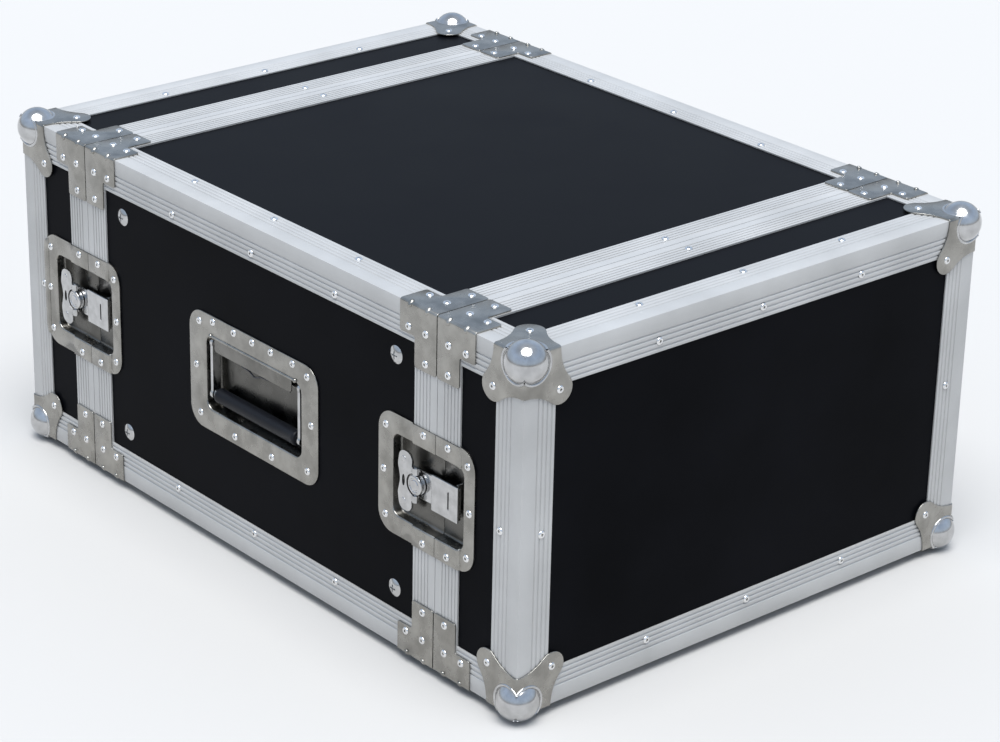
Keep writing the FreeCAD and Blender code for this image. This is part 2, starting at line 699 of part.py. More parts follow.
def drawbar():
    """Stepped hook plate: slotted tail round the cam, lip over the keeper."""
    lift = HOOK_LIFT
    high0 = BAR_HIGH_DEPTH - lift
    high1 = high0 + BAR_T
    low0 = BAR_LOW_DEPTH - lift
    low1 = low0 + BAR_T
    lip_y0 = seam_y(HOOK_AT) - BAR_T
    lip_y1 = seam_y(HOOK_AT)
    step_y0 = seam_y(BAR_STEP_AT)
    step_y1 = step_y0 + BAR_T
    half = BAR_HALF_H
    nose = box(side_x(high0), side_x(high1), lip_y0, step_y1, MID_Z - half, MID_Z + half)
    half = BAR_LIP_HALF_H
    lip = box(side_x(high0), side_x(high1 + HOOK_DROP), lip_y0, lip_y1, MID_Z - half, MID_Z + half)
    half = BAR_TAIL_HALF_H
    tail = box(side_x(low0), side_x(low1), step_y0, seam_y(BAR_TAIL_END), MID_Z - half, MID_Z + half)
    riser = box(side_x(high0), side_x(low1), step_y0, step_y1, MID_Z - half, MID_Z + half)
    whole = fuse([nose, lip, tail, riser])
    slot_y = seam_y(SLOT_AT)
    half = SLOT_HALF_H
    slot = box(side_x(high0 - 1), side_x(high1 + 1), slot_y - SLOT_W, slot_y, MID_Z - half, MID_Z + half)
    return whole.cut([cam_window(low0, low1), slot])


def cam_window(depth0, depth1):
    """Oblong window in the drawbar's tail that the cam turns in."""
    y = seam_y(POST_AT) - CAM_THROW
    half = CAM_R + CAM_PLAY
    rise = CAM_THROW + CAM_END_PLAY
    parts = [box(side_x(depth0 - 1), side_x(depth1 + 1), y - half, y + half, MID_Z - rise, MID_Z + rise)]
    for sign in (-1, 1):
        parts.append(cylinder_x(half, depth0 - 1, depth1 + 1, y, MID_Z + sign * rise))
    return fuse(parts)


def latch_rivets(side, reach):
    """Rivets of half a latch plate at the front left, on one side of the seam."""
    corner = reach - LATCH_CORNER_RIVET_IN
    low = LATCH_HALF_H - LATCH_CORNER_RIVET_DOWN
    row = LATCH_HALF_H - LATCH_ROW_RIVET_IN
    spots = [(reach - LATCH_END_RIVET_IN, 0.0)]
    for sign in (1, -1):
        spots.append((corner, sign * low))
        spots.append((LATCH_ROW_RIVET_OFF, sign * row))
    group = []
    for offset, height in spots:
        surface = -LATCH_SHEET if offset < SEAM_STRIP else SKIN - LATCH_SHEET
        spot = V(side_x(surface), seam_y(side * offset), MID_Z + height)
        group.append(rivet(spot, V(-1, 0, 0)))
    return group


# ---------------------------------------------------------------- handles
def handle_dish():
    """Left handle plate with its recess, hinge lip and arm notches."""
    face = SKIN - HANDLE_SHEET
    low = MID_Z + HANDLE_DISH_LOW
    high = MID_Z + HANDLE_DISH_HIGH
    half = HANDLE_DISH_HALF_L
    wall = HANDLE_SHEET
    floor = HANDLE_DISH_FLOOR
    down = MID_Z - HANDLE_HALF_H
    up = MID_Z + HANDLE_HALF_H
    plate = rounded_plate_x(face, SKIN, -HANDLE_HALF_L, HANDLE_HALF_L, down, up, HANDLE_CORNER_R)
    cup = box(side_x(face), side_x(floor + wall), -half - wall, half + wall, low - wall, high + wall)
    whole = fuse([plate, cup])
    hollow = box(side_x(SKIN), side_x(floor), -half, half, low, high)
    mouth = box(side_x(-2), side_x(SKIN), -half, half, low, MID_Z + HANDLE_LIP_LOW)
    notches = []
    for sign in (-1, 1):
        notches.append(box(side_x(-2), side_x(SKIN), sign * HANDLE_LIP_HALF_L, sign * half, low, high))
    start = V(side_x(HINGE_DEPTH), -2 * half, MID_Z + HINGE_UP)
    bore = Part.makeCylinder(HINGE_R + RUN_CLEAR, 4 * half, start, V(0, 1, 0))
    return whole.cut([hollow, mouth, bore] + notches)


def hinge_rod():
    """Rod through both end walls of the left handle recess."""
    half = HANDLE_DISH_HALF_L + HANDLE_SHEET
    start = V(side_x(HINGE_DEPTH), -half, MID_Z + HINGE_UP)
    return Part.makeCylinder(HINGE_R, 2 * half, start, V(0, 1, 0))


def bail():
    """Left bail hanging down: two flat arms with eyes and the cross rod."""
    outer = HANDLE_DISH_HALF_L - BAIL_ARM_GAP
    x = side_x(HINGE_DEPTH)
    top = MID_Z + HINGE_UP
    low = top - BAIL_REACH
    parts = [Part.makeCylinder(BAIL_ROD_R, 2 * outer, V(x, -outer, low), V(0, 1, 0))]
    for sign in (-1, 1):
        y0 = sign * outer
        y1 = sign * (outer - BAIL_ARM_T)
        parts.append(box(x - BAIL_ARM_W / 2, x + BAIL_ARM_W / 2, y0, y1, low, top))
        parts.append(Part.makeCylinder(BAIL_EYE_R, BAIL_ARM_T, V(x, y0, top), V(0, -sign, 0)))
        parts.append(Part.makeCylinder(BAIL_FOOT_R, BAIL_ARM_T, V(x, y0, low), V(0, -sign, 0)))
    bore = Part.makeCylinder(HINGE_R + RUN_CLEAR, 4 * outer, V(x, -2 * outer, top), V(0, 1, 0))
    return fuse(parts).cut(bore)


def grip():
    """Rubber sleeve over the left bail's cross rod."""
    base = V(side_x(HINGE_DEPTH), -GRIP_HALF_L, MID_Z + HINGE_UP - BAIL_REACH)
    tube = Part.makeCylinder(GRIP_R, 2 * GRIP_HALF_L, base, V(0, 1, 0))
    rims = [e for e in tube.Edges if e.Closed and len(e.Vertexes) == 1]
    tube = tube.makeFillet(1.0, rims)
    return tube.cut(Part.makeCylinder(BAIL_ROD_R + RUN_CLEAR, 2 * GRIP_HALF_L, base, V(0, 1, 0)))


def return_springs():
    """Two torsion springs of the left handle: coil sleeve and one leg each."""
    x = side_x(HINGE_DEPTH)
    z = MID_Z + HINGE_UP
    group = []
    for sign in (-1, 1):
        start = V(x, sign * SPRING_AT - SPRING_L / 2, z)
        coil = Part.makeCylinder(SPRING_R, SPRING_L, start, V(0, 1, 0))
        foot = V(x + SPRING_R - SPRING_WIRE_R, sign * SPRING_AT, z)
        leg = Part.makeCylinder(SPRING_WIRE_R, SPRING_LEG, foot, V(0, 0, -1))
        bore = Part.makeCylinder(SPRING_BORE_R, SPRING_L, start, V(0, 1, 0))
        group.append(fuse([coil, leg]).cut(bore))
    return group


def handle_rivets():
    """Rivets of the left handle plate as (along, up) from its middle."""
    top_row = HANDLE_HALF_H - HANDLE_TOP_ROW_IN
    corner = HANDLE_HALF_L - HANDLE_CORNER_RIVET_IN
    half_spots = [
        (corner, HANDLE_HALF_H - HANDLE_TOP_CORNER_DOWN),
        (HANDLE_RIVET_FAR, top_row),
        (HANDLE_RIVET_NEAR, top_row),
        (HANDLE_HALF_L - HANDLE_END_RIVET_IN, HANDLE_END_RIVET_UP),
        (corner, HANDLE_LOW_CORNER_UP - HANDLE_HALF_H),
        (HANDLE_RIVET_NEAR, HANDLE_LOW_ROW_IN - HANDLE_HALF_H),
    ]
    spots = [(0.0, top_row)]
    for along, up in half_spots:
        spots.extend([(along, up), (-along, up)])
    face = SKIN - HANDLE_SHEET
    return [rivet(V(side_x(face), y, MID_Z + z), V(-1, 0, 0)) for y, z in spots]


# ---------------------------------------------------------------- lids
def lid_face():
    """Plywood face of the front lid."""
    half = HALF_W - SKIN
    return box(-half, half, front_y(SKIN), front_y(PLY_IN), BOTTOM_Z + SKIN, TOP_Z - SKIN)


def lid_side_board(cut_reach):
    """Left rim board of a lid with its latch cut-out."""
    end = seam_y(-GROOVE_BACK - BOARD_PLAY)
    board = box(side_x(SKIN), side_x(PLY_IN), front_y(PLY_IN), end, BOTTOM_Z + SKIN, TOP_Z - SKIN)
    through = side_x(PLY_IN + 1)
    start = seam_y(-cut_reach)
    cut = box(side_x(0), through, start, seam_y(1), MID_Z - CUT_HALF_H, MID_Z + CUT_HALF_H)
    return board.cut(cut)


def lid_top_board():
    """Top rim board of the front lid."""
    end = seam_y(-GROOVE_BACK - BOARD_PLAY)
    half = HALF_W - PLY_IN
    return box(-half, half, front_y(PLY_IN), end, TOP_Z - PLY_IN, TOP_Z - SKIN)


def lid_long_angles():
    """Short angles along the lid's depth, trimmed under the front angles."""
    length = LID_L - SEAM_STRIP
    corner = V(-HALF_W, front_y(0), TOP_Z)
    bar = angle_bar(corner, V(1, 0, 0), V(0, 0, -1), V(0, 1, 0), length)
    trim_end = front_y(EDGE_FLANGE)
    under_front = box(side_x(SKIN), side_x(80), front_y(-1), trim_end, TOP_Z - SKIN, TOP_Z + 1)
    return flips(bar.cut(under_front), "xz")


def lid_cross_angles():
    """Front edge angles across the top and the bottom of the front lid."""
    half = HALF_W - SKIN
    corner = V(-half, front_y(0), TOP_Z)
    return flips(angle_bar(corner, V(0, 1, 0), V(0, 0, -1), V(1, 0, 0), 2 * half), "z")


def lid_upright_angles(plate_reach):
    """Edge angles up both sides of a lid, trimmed round a long latch plate."""
    corner = V(-HALF_W, front_y(0), BOTTOM_Z + EDGE_FLANGE)
    height = CASE_H - 2 * EDGE_FLANGE
    bar = angle_bar(corner, V(1, 0, 0), V(0, 1, 0), V(0, 0, 1), height)
    start = seam_y(-plate_reach - PLATE_TRIM)
    half = LATCH_HALF_H + PLATE_TRIM
    radius = LATCH_CORNER_R + PLATE_TRIM
    return flips(bar.cut(rounded_plate_x(-1, SKIN + 1, start, 0, MID_Z - half, MID_Z + half, radius)), "x")


def lid_rivets(plate_reach):
    """All rivets of a lid, drawn at the front."""
    group = []
    corner_set = flip_all(ball_rivets(), "xz") + flip_all(brace_rivets(-1), "xz")
    group.extend(corner_set)
    group.extend(flip_all(latch_rivets(-1, plate_reach), "x"))
    edge_in = EDGE_FLANGE - EDGE_RIVET_IN
    for step in (-1, 0, 1):
        x = step * EDGE_RIVET_PITCH
        top = [
            rivet(V(x, front_y(edge_in), TOP_Z), V(0, 0, 1)),
            rivet(V(x, front_y(0), TOP_Z - EDGE_FLANGE + CROSS_RIVET_IN), V(0, -1, 0)),
        ]
        group.extend(flip_all(top, "z"))
    group.extend(flips(rivet(V(0, seam_y(-BRACE_RIVET_OFF), TOP_Z), V(0, 0, 1)), "z"))
    upright = [
        rivet(V(side_x(0), front_y(edge_in), MID_Z), V(-1, 0, 0)),
        rivet(V(side_x(EDGE_FLANGE - UPRIGHT_RIVET_IN), front_y(0), MID_Z), V(0, -1, 0)),
    ]
    group.extend(flip_all(upright, "x"))
    return group


def body_rivets():
    """All rivets of the body: braces, latches, handles and edge angles."""
    group = flip_all(brace_rivets(1), "xyz")
    group.extend(flip_all(latch_rivets(1, LATCH_BODY_REACH), "x"))
    rear_keepers = flip_all(latch_rivets(1, LATCH_LID_REACH), "x")
    group.extend([flip(one, "y") for one in rear_keepers])
    group.extend(flip_all(handle_rivets(), "x"))
    group.extend(flips(rivet(V(0, seam_y(BRACE_RIVET_OFF), TOP_Z), V(0, 0, 1)), "yz"))
    edge_in = EDGE_FLANGE - EDGE_RIVET_IN
    for step in (-1, 0, 1):
        y = step * EDGE_RIVET_PITCH
        pair = [
            rivet(V(side_x(0), y, TOP_Z - edge_in), V(-1, 0, 0)),
            rivet(V(side_x(edge_in), y, TOP_Z), V(0, 0, 1)),
        ]
        group.extend(flip_all(pair, "xz"))
    return group


# ---------------------------------------------------------------- write nodes
def write_body():
    """Nodes of the fixed sleeve body."""
    save("side_panel_left", side_panel())
    save("side_panel_right", flip(side_panel(), "x"))
    save("top_panel", top_panel())
    save("bottom_panel", flip(top_panel(), "z"))
    length = 2.0 * (SEAM_Y - SEAM_STRIP)
    corner = V(-HALF_W, -SEAM_Y + SEAM_STRIP, TOP_Z)
    long_angle = angle_bar(corner, V(1, 0, 0), V(0, 0, -1), V(0, 1, 0), length)
    save("body_edge_angles", flips(long_angle, "xz"))
    save("tongue_frame_front", tongue_frame())
    save("tongue_frame_rear", flip(tongue_frame(), "y"))
    save("body_brace_corners", flips(brace(1), "xyz"))
    save("rack_rails", flips(rail(), "xy"))
    bolts = [rail_bolt(y, z) for y, z in rail_bolt_points()]
    nuts = [rail_nut(y, z) for y, z in rail_bolt_points()]
    save("rail_bolts", flip_all(bolts, "x"))
    save("rail_nuts", flip_all(nuts, "x"))
    save("body_rivets", body_rivets())


def write_handles():
    """Nodes of the two carrying handles."""
    save("handle_dish_left", handle_dish())
    save("handle_dish_right", flip(handle_dish(), "x"))
    save("handle_hinge_rods", flips(hinge_rod(), "x"))
    save("handle_springs", flip_all(return_springs(), "x"))
    save("bail_left", bail())
    save("bail_right", flip(bail(), "x"))
    save("grip_left", grip())
    save("grip_right", flip(grip(), "x"))


def write_latches():
    """Nodes of the four latches; at the rear the post half sits on the lid."""
    for end in ("front", "rear"):
        for side in ("left", "right"):
            for node, make in (
                ("latch_dish", latch_dish_post),
                ("latch_post", latch_post),
                ("latch_wing", latch_wing),
                ("latch_drawbar", drawbar),
                ("latch_keeper", latch_dish_keeper),
            ):
                shape = make()
                if end == "rear":
                    shape = to_rear(shape)
                if side == "right":
                    shape = flip(shape, "x")
                save(node + "_" + end + "_" + side, shape)


def lid_nodes(cut_reach, plate_reach):
    """Shapes of one lid, drawn at the front, by the end of their node name."""
    return {
        "face": [lid_face()],
        "side_boards": flips(lid_side_board(cut_reach), "x"),
        "top_bottom_boards": flips(lid_top_board(), "z"),
        "cross_angles": lid_cross_angles(),
        "upright_angles": lid_upright_angles(plate_reach),
        "long_angles": lid_long_angles(),
        "groove_frame": [groove_frame()],
        "ball_corners": flips(ball_corner(), "xz"),
        "brace_corners": flips(brace(-1), "xz"),
        "rivets": lid_rivets(plate_reach),
    }


def write_lids():
    """Nodes of the front lid, and of the rear lid mirrored from the front."""
    for name, shapes in lid_nodes(CUT_LID, LATCH_LID_REACH).items():
        save("front_lid_" + name, shapes[0] if len(shapes) == 1 else shapes)
    for name, shapes in lid_nodes(CUT_BODY, LATCH_BODY_REACH).items():
        turned = [flip(one, "y") for one in shapes]
        save("rear_lid_" + name, turned[0] if len(turned) == 1 else turned)


os.makedirs("parts", exist_ok=True)
write_body()
write_handles()
write_latches()
write_lids()
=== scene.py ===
import json
from math import atan2, cos, pi, radians, sin, tan

import bmesh
import bpy
from mathutils import Matrix, Vector

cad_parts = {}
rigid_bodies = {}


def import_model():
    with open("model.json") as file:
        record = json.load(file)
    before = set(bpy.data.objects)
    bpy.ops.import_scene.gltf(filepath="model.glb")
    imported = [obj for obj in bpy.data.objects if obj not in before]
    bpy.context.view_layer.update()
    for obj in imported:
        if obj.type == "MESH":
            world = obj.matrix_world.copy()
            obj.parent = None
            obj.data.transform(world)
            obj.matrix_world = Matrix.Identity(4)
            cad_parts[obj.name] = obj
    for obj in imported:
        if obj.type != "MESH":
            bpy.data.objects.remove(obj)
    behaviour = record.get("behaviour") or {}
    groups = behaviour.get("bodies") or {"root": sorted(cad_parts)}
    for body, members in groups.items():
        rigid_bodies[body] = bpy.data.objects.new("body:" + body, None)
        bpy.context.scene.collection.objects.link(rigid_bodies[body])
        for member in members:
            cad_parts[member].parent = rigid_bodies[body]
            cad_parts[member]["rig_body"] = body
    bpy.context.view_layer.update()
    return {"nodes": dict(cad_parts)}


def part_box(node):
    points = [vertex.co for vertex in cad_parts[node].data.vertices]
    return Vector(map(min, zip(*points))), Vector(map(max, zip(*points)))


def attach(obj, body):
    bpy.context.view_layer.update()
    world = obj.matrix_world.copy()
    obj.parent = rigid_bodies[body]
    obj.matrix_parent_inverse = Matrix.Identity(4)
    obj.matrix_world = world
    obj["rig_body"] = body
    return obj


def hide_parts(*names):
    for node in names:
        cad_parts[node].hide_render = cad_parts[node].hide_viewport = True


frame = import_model()
nodes = frame["nodes"]
scene = bpy.context.scene
MM = 0.001


# ---- Studio: a pale floor, a pale room and one broad soft sun.
# The camera looks down over the front left corner of the case.
scene.view_settings.view_transform = "Standard"

camera = bpy.data.objects.new("camera", bpy.data.cameras.new("camera"))
SENSOR = 36.0
LENS_TO_SENSOR = 3.0577
camera.data.sensor_width = SENSOR
camera.data.lens = SENSOR * LENS_TO_SENSOR
camera.data.clip_end = 100.0
camera_right = Vector((0.760891, -0.648556, 0.020477))
camera_up = Vector((0.245851, 0.317352, 0.915885))
camera_back = Vector((-0.600501, -0.691854, 0.400919))
camera_turn = Matrix((camera_right, camera_up, camera_back)).transposed().to_4x4()
camera_at = Vector((-1.6876, -1.9725, 1.2588))
camera.matrix_world = Matrix.Translation(camera_at) @ camera_turn
scene.collection.objects.link(camera)
scene.camera = camera

floor_mesh = bmesh.new()
bmesh.ops.create_grid(floor_mesh, x_segments=1, y_segments=1, size=40.0)
floor_data = bpy.data.meshes.new("floor")
floor_mesh.to_mesh(floor_data)
floor_mesh.free()
floor = bpy.data.objects.new("floor", floor_data)
scene.collection.objects.link(floor)
floor_paint = bpy.data.materials.new("pale floor")
floor_paint.use_nodes = True
floor_shader = floor_paint.node_tree.nodes["Principled BSDF"]
floor_shader.inputs["Base Color"].default_value = (0.5, 0.49, 0.475, 1.0)
floor_shader.inputs["Roughness"].default_value = 0.9
floor_shader.inputs["Specular IOR Level"].default_value = 0.0
floor_data.materials.append(floor_paint)

room = bpy.data.worlds.new("room")
room.use_nodes = True
scene.world = room
room_nodes = room.node_tree.nodes
room_links = room.node_tree.links
room_light = room_nodes["Background"]
room_light.inputs["Strength"].default_value = 1.0
room_place = room_nodes.new("ShaderNodeTexCoord")
room_height = room_nodes.new("ShaderNodeSeparateXYZ")
room_shade = room_nodes.new("ShaderNodeValToRGB")
room_shade.color_ramp.elements[0].position = 0.0
room_shade.color_ramp.elements[0].color = (0.4, 0.39, 0.37, 1.0)
room_shade.color_ramp.elements[1].position = 1.0
room_shade.color_ramp.elements[1].color = (0.5, 0.55, 0.62, 1.0)
for level, tone in ((0.2, (0.6, 0.71, 0.86, 1.0)), (0.6, (0.54, 0.67, 0.88, 1.0))):
    step = room_shade.color_ramp.elements.new(level)
    step.color = tone
room_links.new(room_place.outputs["Generated"], room_height.inputs["Vector"])
room_links.new(room_height.outputs["Z"], room_shade.inputs["Fac"])
room_links.new(room_shade.outputs["Color"], room_light.inputs["Color"])

sun_data = bpy.data.lights.new("overhead_sun", "SUN")
sun_data.energy = 4.3
sun_data.angle = radians(45.0)
sun = bpy.data.objects.new("overhead_sun", sun_data)
sun_way = Vector((0.18, 0.22, -1.0))
sun.matrix_world = sun_way.to_track_quat("-Z", "Y").to_matrix().to_4x4()
scene.collection.objects.link(sun)


# ---- Plywood boards: birch ply faced with a black resin laminate.
# They butt together inside the aluminium angles; the CAD boards are kept.
def finish(name):
    """New node material; returns the material, its nodes, links and shader."""
    paint = bpy.data.materials.new(name)
    paint.use_nodes = True
    tree = paint.node_tree
    return paint, tree.nodes, tree.links, tree.nodes["Principled BSDF"]


def speckle(paint_nodes, paint_links, size, detail):
    """Noise over the piece's own coordinates."""
    place = paint_nodes.new("ShaderNodeTexCoord")
    noise = paint_nodes.new("ShaderNodeTexNoise")
    noise.inputs["Scale"].default_value = size
    noise.inputs["Detail"].default_value = detail
    paint_links.new(place.outputs["Object"], noise.inputs["Vector"])
    return noise.outputs["Fac"]


def ramp(paint_nodes, paint_links, source, low, high, start=0.3, stop=0.7):
    """Spreads a value between two colours."""
    tone = paint_nodes.new("ShaderNodeValToRGB")
    tone.color_ramp.elements[0].position = start
    tone.color_ramp.elements[0].color = (*low, 1.0)
    tone.color_ramp.elements[1].position = stop
    tone.color_ramp.elements[1].color = (*high, 1.0)
    paint_links.new(source, tone.inputs["Fac"])
    return tone.outputs["Color"]


def spread(paint_nodes, paint_links, source, low, high):
    """Maps a noise to a range of values."""
    scale = paint_nodes.new("ShaderNodeMapRange")
    scale.inputs["From Min"].default_value = 0.3
    scale.inputs["From Max"].default_value = 0.7
    scale.inputs["To Min"].default_value = low
    scale.inputs["To Max"].default_value = high
    paint_links.new(source, scale.inputs["Value"])
    return scale.outputs["Result"]


def relief(paint_nodes, paint_links, shader, source, depth, strength):
    """Raises the surface by a pattern."""
    bump = paint_nodes.new("ShaderNodeBump")
    bump.inputs["Distance"].default_value = depth
    bump.inputs["Strength"].default_value = strength
    paint_links.new(source, bump.inputs["Height"])
    paint_links.new(bump.outputs["Normal"], shader.inputs["Normal"])


def black_laminate():
    """Fine-grained black resin face with faint scuffs."""
    paint, pn, pl, shader = finish("black laminate")
    scuffs = speckle(pn, pl, 9.0, 5.0)
    grain = speckle(pn, pl, 900.0, 2.0)
    tone = ramp(pn, pl, scuffs, (0.0022, 0.0024, 0.0032), (0.004, 0.0043, 0.0058))
    pl.new(tone, shader.inputs["Base Color"])
    pl.new(spread(pn, pl, scuffs, 0.3, 0.4), shader.inputs["Roughness"])
    shader.inputs["Specular IOR Level"].default_value = 0.022
    relief(pn, pl, shader, grain, 0.00012, 0.35)
    return paint


def repainted(node, paint):
    """Gives a carried-over CAD node its own finish."""
    nodes[node].data.materials.clear()
    nodes[node].data.materials.append(paint)


laminate = black_laminate()
for node in nodes:
    if node.endswith(("_panel", "_panel_left", "_panel_right", "_face", "_boards")):
        repainted(node, laminate)


# ---- Edge angles: extruded satin aluminium, a flat band beside the arris
# and a row of grooves towards the board, cut to length and riveted on.
def drawn_aluminium():
    """Satin anodised aluminium with a fine, even grain."""
    paint, pn, pl, shader = finish("drawn aluminium")
    grain = speckle(pn, pl, 420.0, 3.0)
    cloud = speckle(pn, pl, 14.0, 3.0)
    pl.new(ramp(pn, pl, cloud, (0.42, 0.418, 0.41), (0.5, 0.498, 0.49)), shader.inputs["Base Color"])
    pl.new(spread(pn, pl, grain, 0.4, 0.5), shader.inputs["Roughness"])
    shader.inputs["Metallic"].default_value = 0.3
    shader.inputs["Anisotropic"].default_value = 0.3
    relief(pn, pl, shader, grain, 0.00001, 0.2)
    return paint


aluminium = drawn_aluminium()
angle_low, angle_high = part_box("body_edge_angles")
SIDE = angle_high.x
TOP = angle_high.z
BOTTOM = angle_low.z
MIDDLE = (TOP + BOTTOM) / 2.0
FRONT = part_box("front_lid_cross_angles")[0].y
HALF_GAP = 0.3
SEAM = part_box("front_lid_groove_frame")[1].y + HALF_GAP * MM
FLANGE = 33.0 * MM
SKIN = 1.6 * MM


def shown(name, bm, body, paint, slot, *replaced, smooth=35.0):
    """Turns a bmesh into a piece that rides on a body."""
    data = bpy.data.meshes.new(name)
    bm.to_mesh(data)
    bm.free()
    data.materials.append(paint)
    piece = bpy.data.objects.new(name, data)
    scene.collection.objects.link(piece)
    data.shade_smooth()
    data.set_sharp_from_angle(angle=radians(smooth))
    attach(piece, body)
    if replaced:
        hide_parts(*replaced)
    return piece


def mirrored(bm, *planes):
    """Adds the mirror image of everything across each named plane in turn."""
    for plane in planes:
        centre = Vector((0.0, 0.0, MIDDLE if plane == "z" else 0.0))
        sign = [-1.0 if axis == plane else 1.0 for axis in "xyz"]
        copy = bmesh.ops.duplicate(bm, geom=bm.verts[:] + bm.edges[:] + bm.faces[:])["geom"]
        verts = [v for v in copy if isinstance(v, bmesh.types.BMVert)]
        faces = [f for f in copy if isinstance(f, bmesh.types.BMFace)]
        bmesh.ops.scale(bm, vec=sign, space=Matrix.Translation(-centre), verts=verts)
        bmesh.ops.reverse_faces(bm, faces=faces)


def flip_end(bm):
    """Turns everything from the front end to the rear end."""
    bmesh.ops.scale(bm, vec=(1.0, -1.0, 1.0), verts=bm.verts)
    bmesh.ops.reverse_faces(bm, faces=bm.faces)


def welded(bm, gap=0.00001):
    """Merges the verts of neighbouring pieces that meet."""
    bmesh.ops.remove_doubles(bm, verts=bm.verts, dist=gap)


def rounded(bm, edges, radius, segments=3):
    """Rounds over edges of a bmesh."""
    bmesh.ops.bevel(bm, geom=edges, offset=radius * MM, affect="EDGES", segments=segments, profile=0.5,
                    material=-1)


GROOVE_STARTS = (14.4, 19.1, 23.8, 28.5)
GROOVE_WIDE = 1.9 * MM
GROOVE_DEEP = 1.1 * MM
GROOVE_FLANK = 0.3
ARRIS_R = 0.22


def angle_piece(corner, across, down, run):
    """One length of angle: its outline drawn at one end and pulled along."""
    bm = bmesh.new()
    corner, across, down, run = Vector(corner), Vector(across), Vector(down), Vector(run)
    leg = [(0.0, 0.0)]
    for start in GROOVE_STARTS:
        start *= MM
        leg.append((start, 0.0))
        leg.append((start + GROOVE_WIDE * GROOVE_FLANK, GROOVE_DEEP))
        leg.append((start + GROOVE_WIDE * (1.0 - GROOVE_FLANK), GROOVE_DEEP))
        leg.append((start + GROOVE_WIDE, 0.0))
    leg += [(FLANGE, 0.0), (FLANGE, SKIN)]
    second = [(depth, along) for along, depth in reversed(leg[1:])]
    points = [corner + across * a + down * d for a, d in leg + [(SKIN, SKIN)] + second]
    end = [bm.faces.new([bm.verts.new(p) for p in points])]
    sides = set(bm.edges)
    pulled = bmesh.ops.extrude_face_region(bm, geom=end)["geom"]
    bmesh.ops.translate(bm, vec=run, verts=[g for g in pulled if isinstance(g, bmesh.types.BMVert)])
    end_edges = {e for f in end if f.is_valid for e in f.edges}
    lengthwise = [e for e in bm.edges if e not in sides and e not in end_edges
                  and abs((e.verts[0].co - e.verts[1].co).normalized().dot(run.normalized())) > 0.999]
    rounded(bm, lengthwise, ARRIS_R, 2)
    welded(bm)
    bmesh.ops.holes_fill(bm, edges=[e for e in bm.edges if e.is_boundary], sides=0)
    bmesh.ops.recalc_face_normals(bm, faces=bm.faces)
    return bm


body_length = angle_high.y - angle_low.y
body_angle = angle_piece((-SIDE, angle_low.y, TOP), (1, 0, 0), (0, 0, -1), (0, body_length, 0))
mirrored(body_angle, "x", "z")
shown("edge_angles", body_angle, "case_body", aluminium, "edge_aluminium", "body_edge_angles")

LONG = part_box("front_lid_long_angles")[1].y - FRONT
UPRIGHT = TOP - BOTTOM - 2 * FLANGE
for lid in ("front_lid", "rear_lid"):
    cross = angle_piece((-SIDE + SKIN, FRONT, TOP), (0, 1, 0), (0, 0, -1), (2 * (SIDE - SKIN), 0, 0))
    mirrored(cross, "z")
    upright = angle_piece((-SIDE, FRONT, BOTTOM + FLANGE), (1, 0, 0), (0, 1, 0), (0, 0, UPRIGHT))
    mirrored(upright, "x")
    along = angle_piece((-SIDE, FRONT + FLANGE, TOP), (1, 0, 0), (0, 0, -1), (0, LONG - FLANGE, 0))
    mirrored(along, "x", "z")
    for name, bm in (("cross_angles", cross), ("upright_angles", upright), ("long_angles", along)):
        if lid == "rear_lid":
            flip_end(bm)
        shown(lid + "_" + name + "_shown", bm, lid, aluminium, "edge_aluminium", lid + "_" + name)

for node in ("tongue_frame_front", "tongue_frame_rear", "front_lid_groove_frame", "rear_lid_groove_frame"):
    repainted(node, aluminium)


# ---- Folded brace corners: plated steel bent over the edge beside each seam,
# L-shaped on both flanges, stiffened by two pressed dimples on the fold.
# Painted shade: the recess steel darkens between these two depths behind the side face.
RECESS_SHADE_FROM = 9 * MM
RECESS_SHADE_TO = 1.5 * MM


def plated_steel(name, recessed, shade=1.0):
    """Zinc plate with cloudy crystals; in a recess, painted shade darkens it deeper in, and shade below 1
    dims it all over as painted shade.
    """
    paint, pn, pl, shader = finish(name)
    cloud = speckle(pn, pl, 55.0, 6.0)
    marks = speckle(pn, pl, 260.0, 3.0)
    dull = [shade * c for c in (0.24, 0.233, 0.215)]
    fresh = [shade * c for c in (0.4, 0.388, 0.36)]
    tone = ramp(pn, pl, cloud, dull, fresh)
    if recessed:
        place = pn.new("ShaderNodeTexCoord")
        across = pn.new("ShaderNodeSeparateXYZ")
        pl.new(place.outputs["Object"], across.inputs["Vector"])
        width = pn.new("ShaderNodeMath")
        width.operation = "ABSOLUTE"
        pl.new(across.outputs["X"], width.inputs[0])
        # Painted shade: the deeper inside the side face, the darker, down to 0.36 of the colour.
        recess_shade = ramp(pn, pl, width.outputs["Value"], (0.36, 0.36, 0.36), (1, 1, 1),
                    SIDE - RECESS_SHADE_FROM, SIDE - RECESS_SHADE_TO)
        mix = pn.new("ShaderNodeMix")
        mix.data_type = "RGBA"
        mix.blend_type = "MULTIPLY"
        mix.inputs["Factor"].default_value = 1.0
        pl.new(tone, mix.inputs["A"])
        pl.new(recess_shade, mix.inputs["B"])
        tone = mix.outputs["Result"]
    pl.new(tone, shader.inputs["Base Color"])
    pl.new(spread(pn, pl, cloud, 0.2, 0.34), shader.inputs["Roughness"])
    shader.inputs["Metallic"].default_value = 1.0
    relief(pn, pl, shader, marks, 0.00004, 0.25)
    return paint


steel = plated_steel("plated steel", False)
# Recess steel carries the painted shade used inside the latch and handle recesses.
recess_shaded_steel = plated_steel("recess steel, painted shade", True)
# Painted shade: a darker copy of the plated steel, for the shaded hinge lip and the rivet hollows.
shaded_lip_steel = plated_steel("hinge lip steel, painted shade", False, 0.55)
SHEET = 1.5
FOLD = 2.6
BRACE_GAP = 0.6
BRACE_WIDE = 28.1
BRACE_EDGE = 47.0
BRACE_SEAM = 55.0
SHEARED = 0.35 * MM


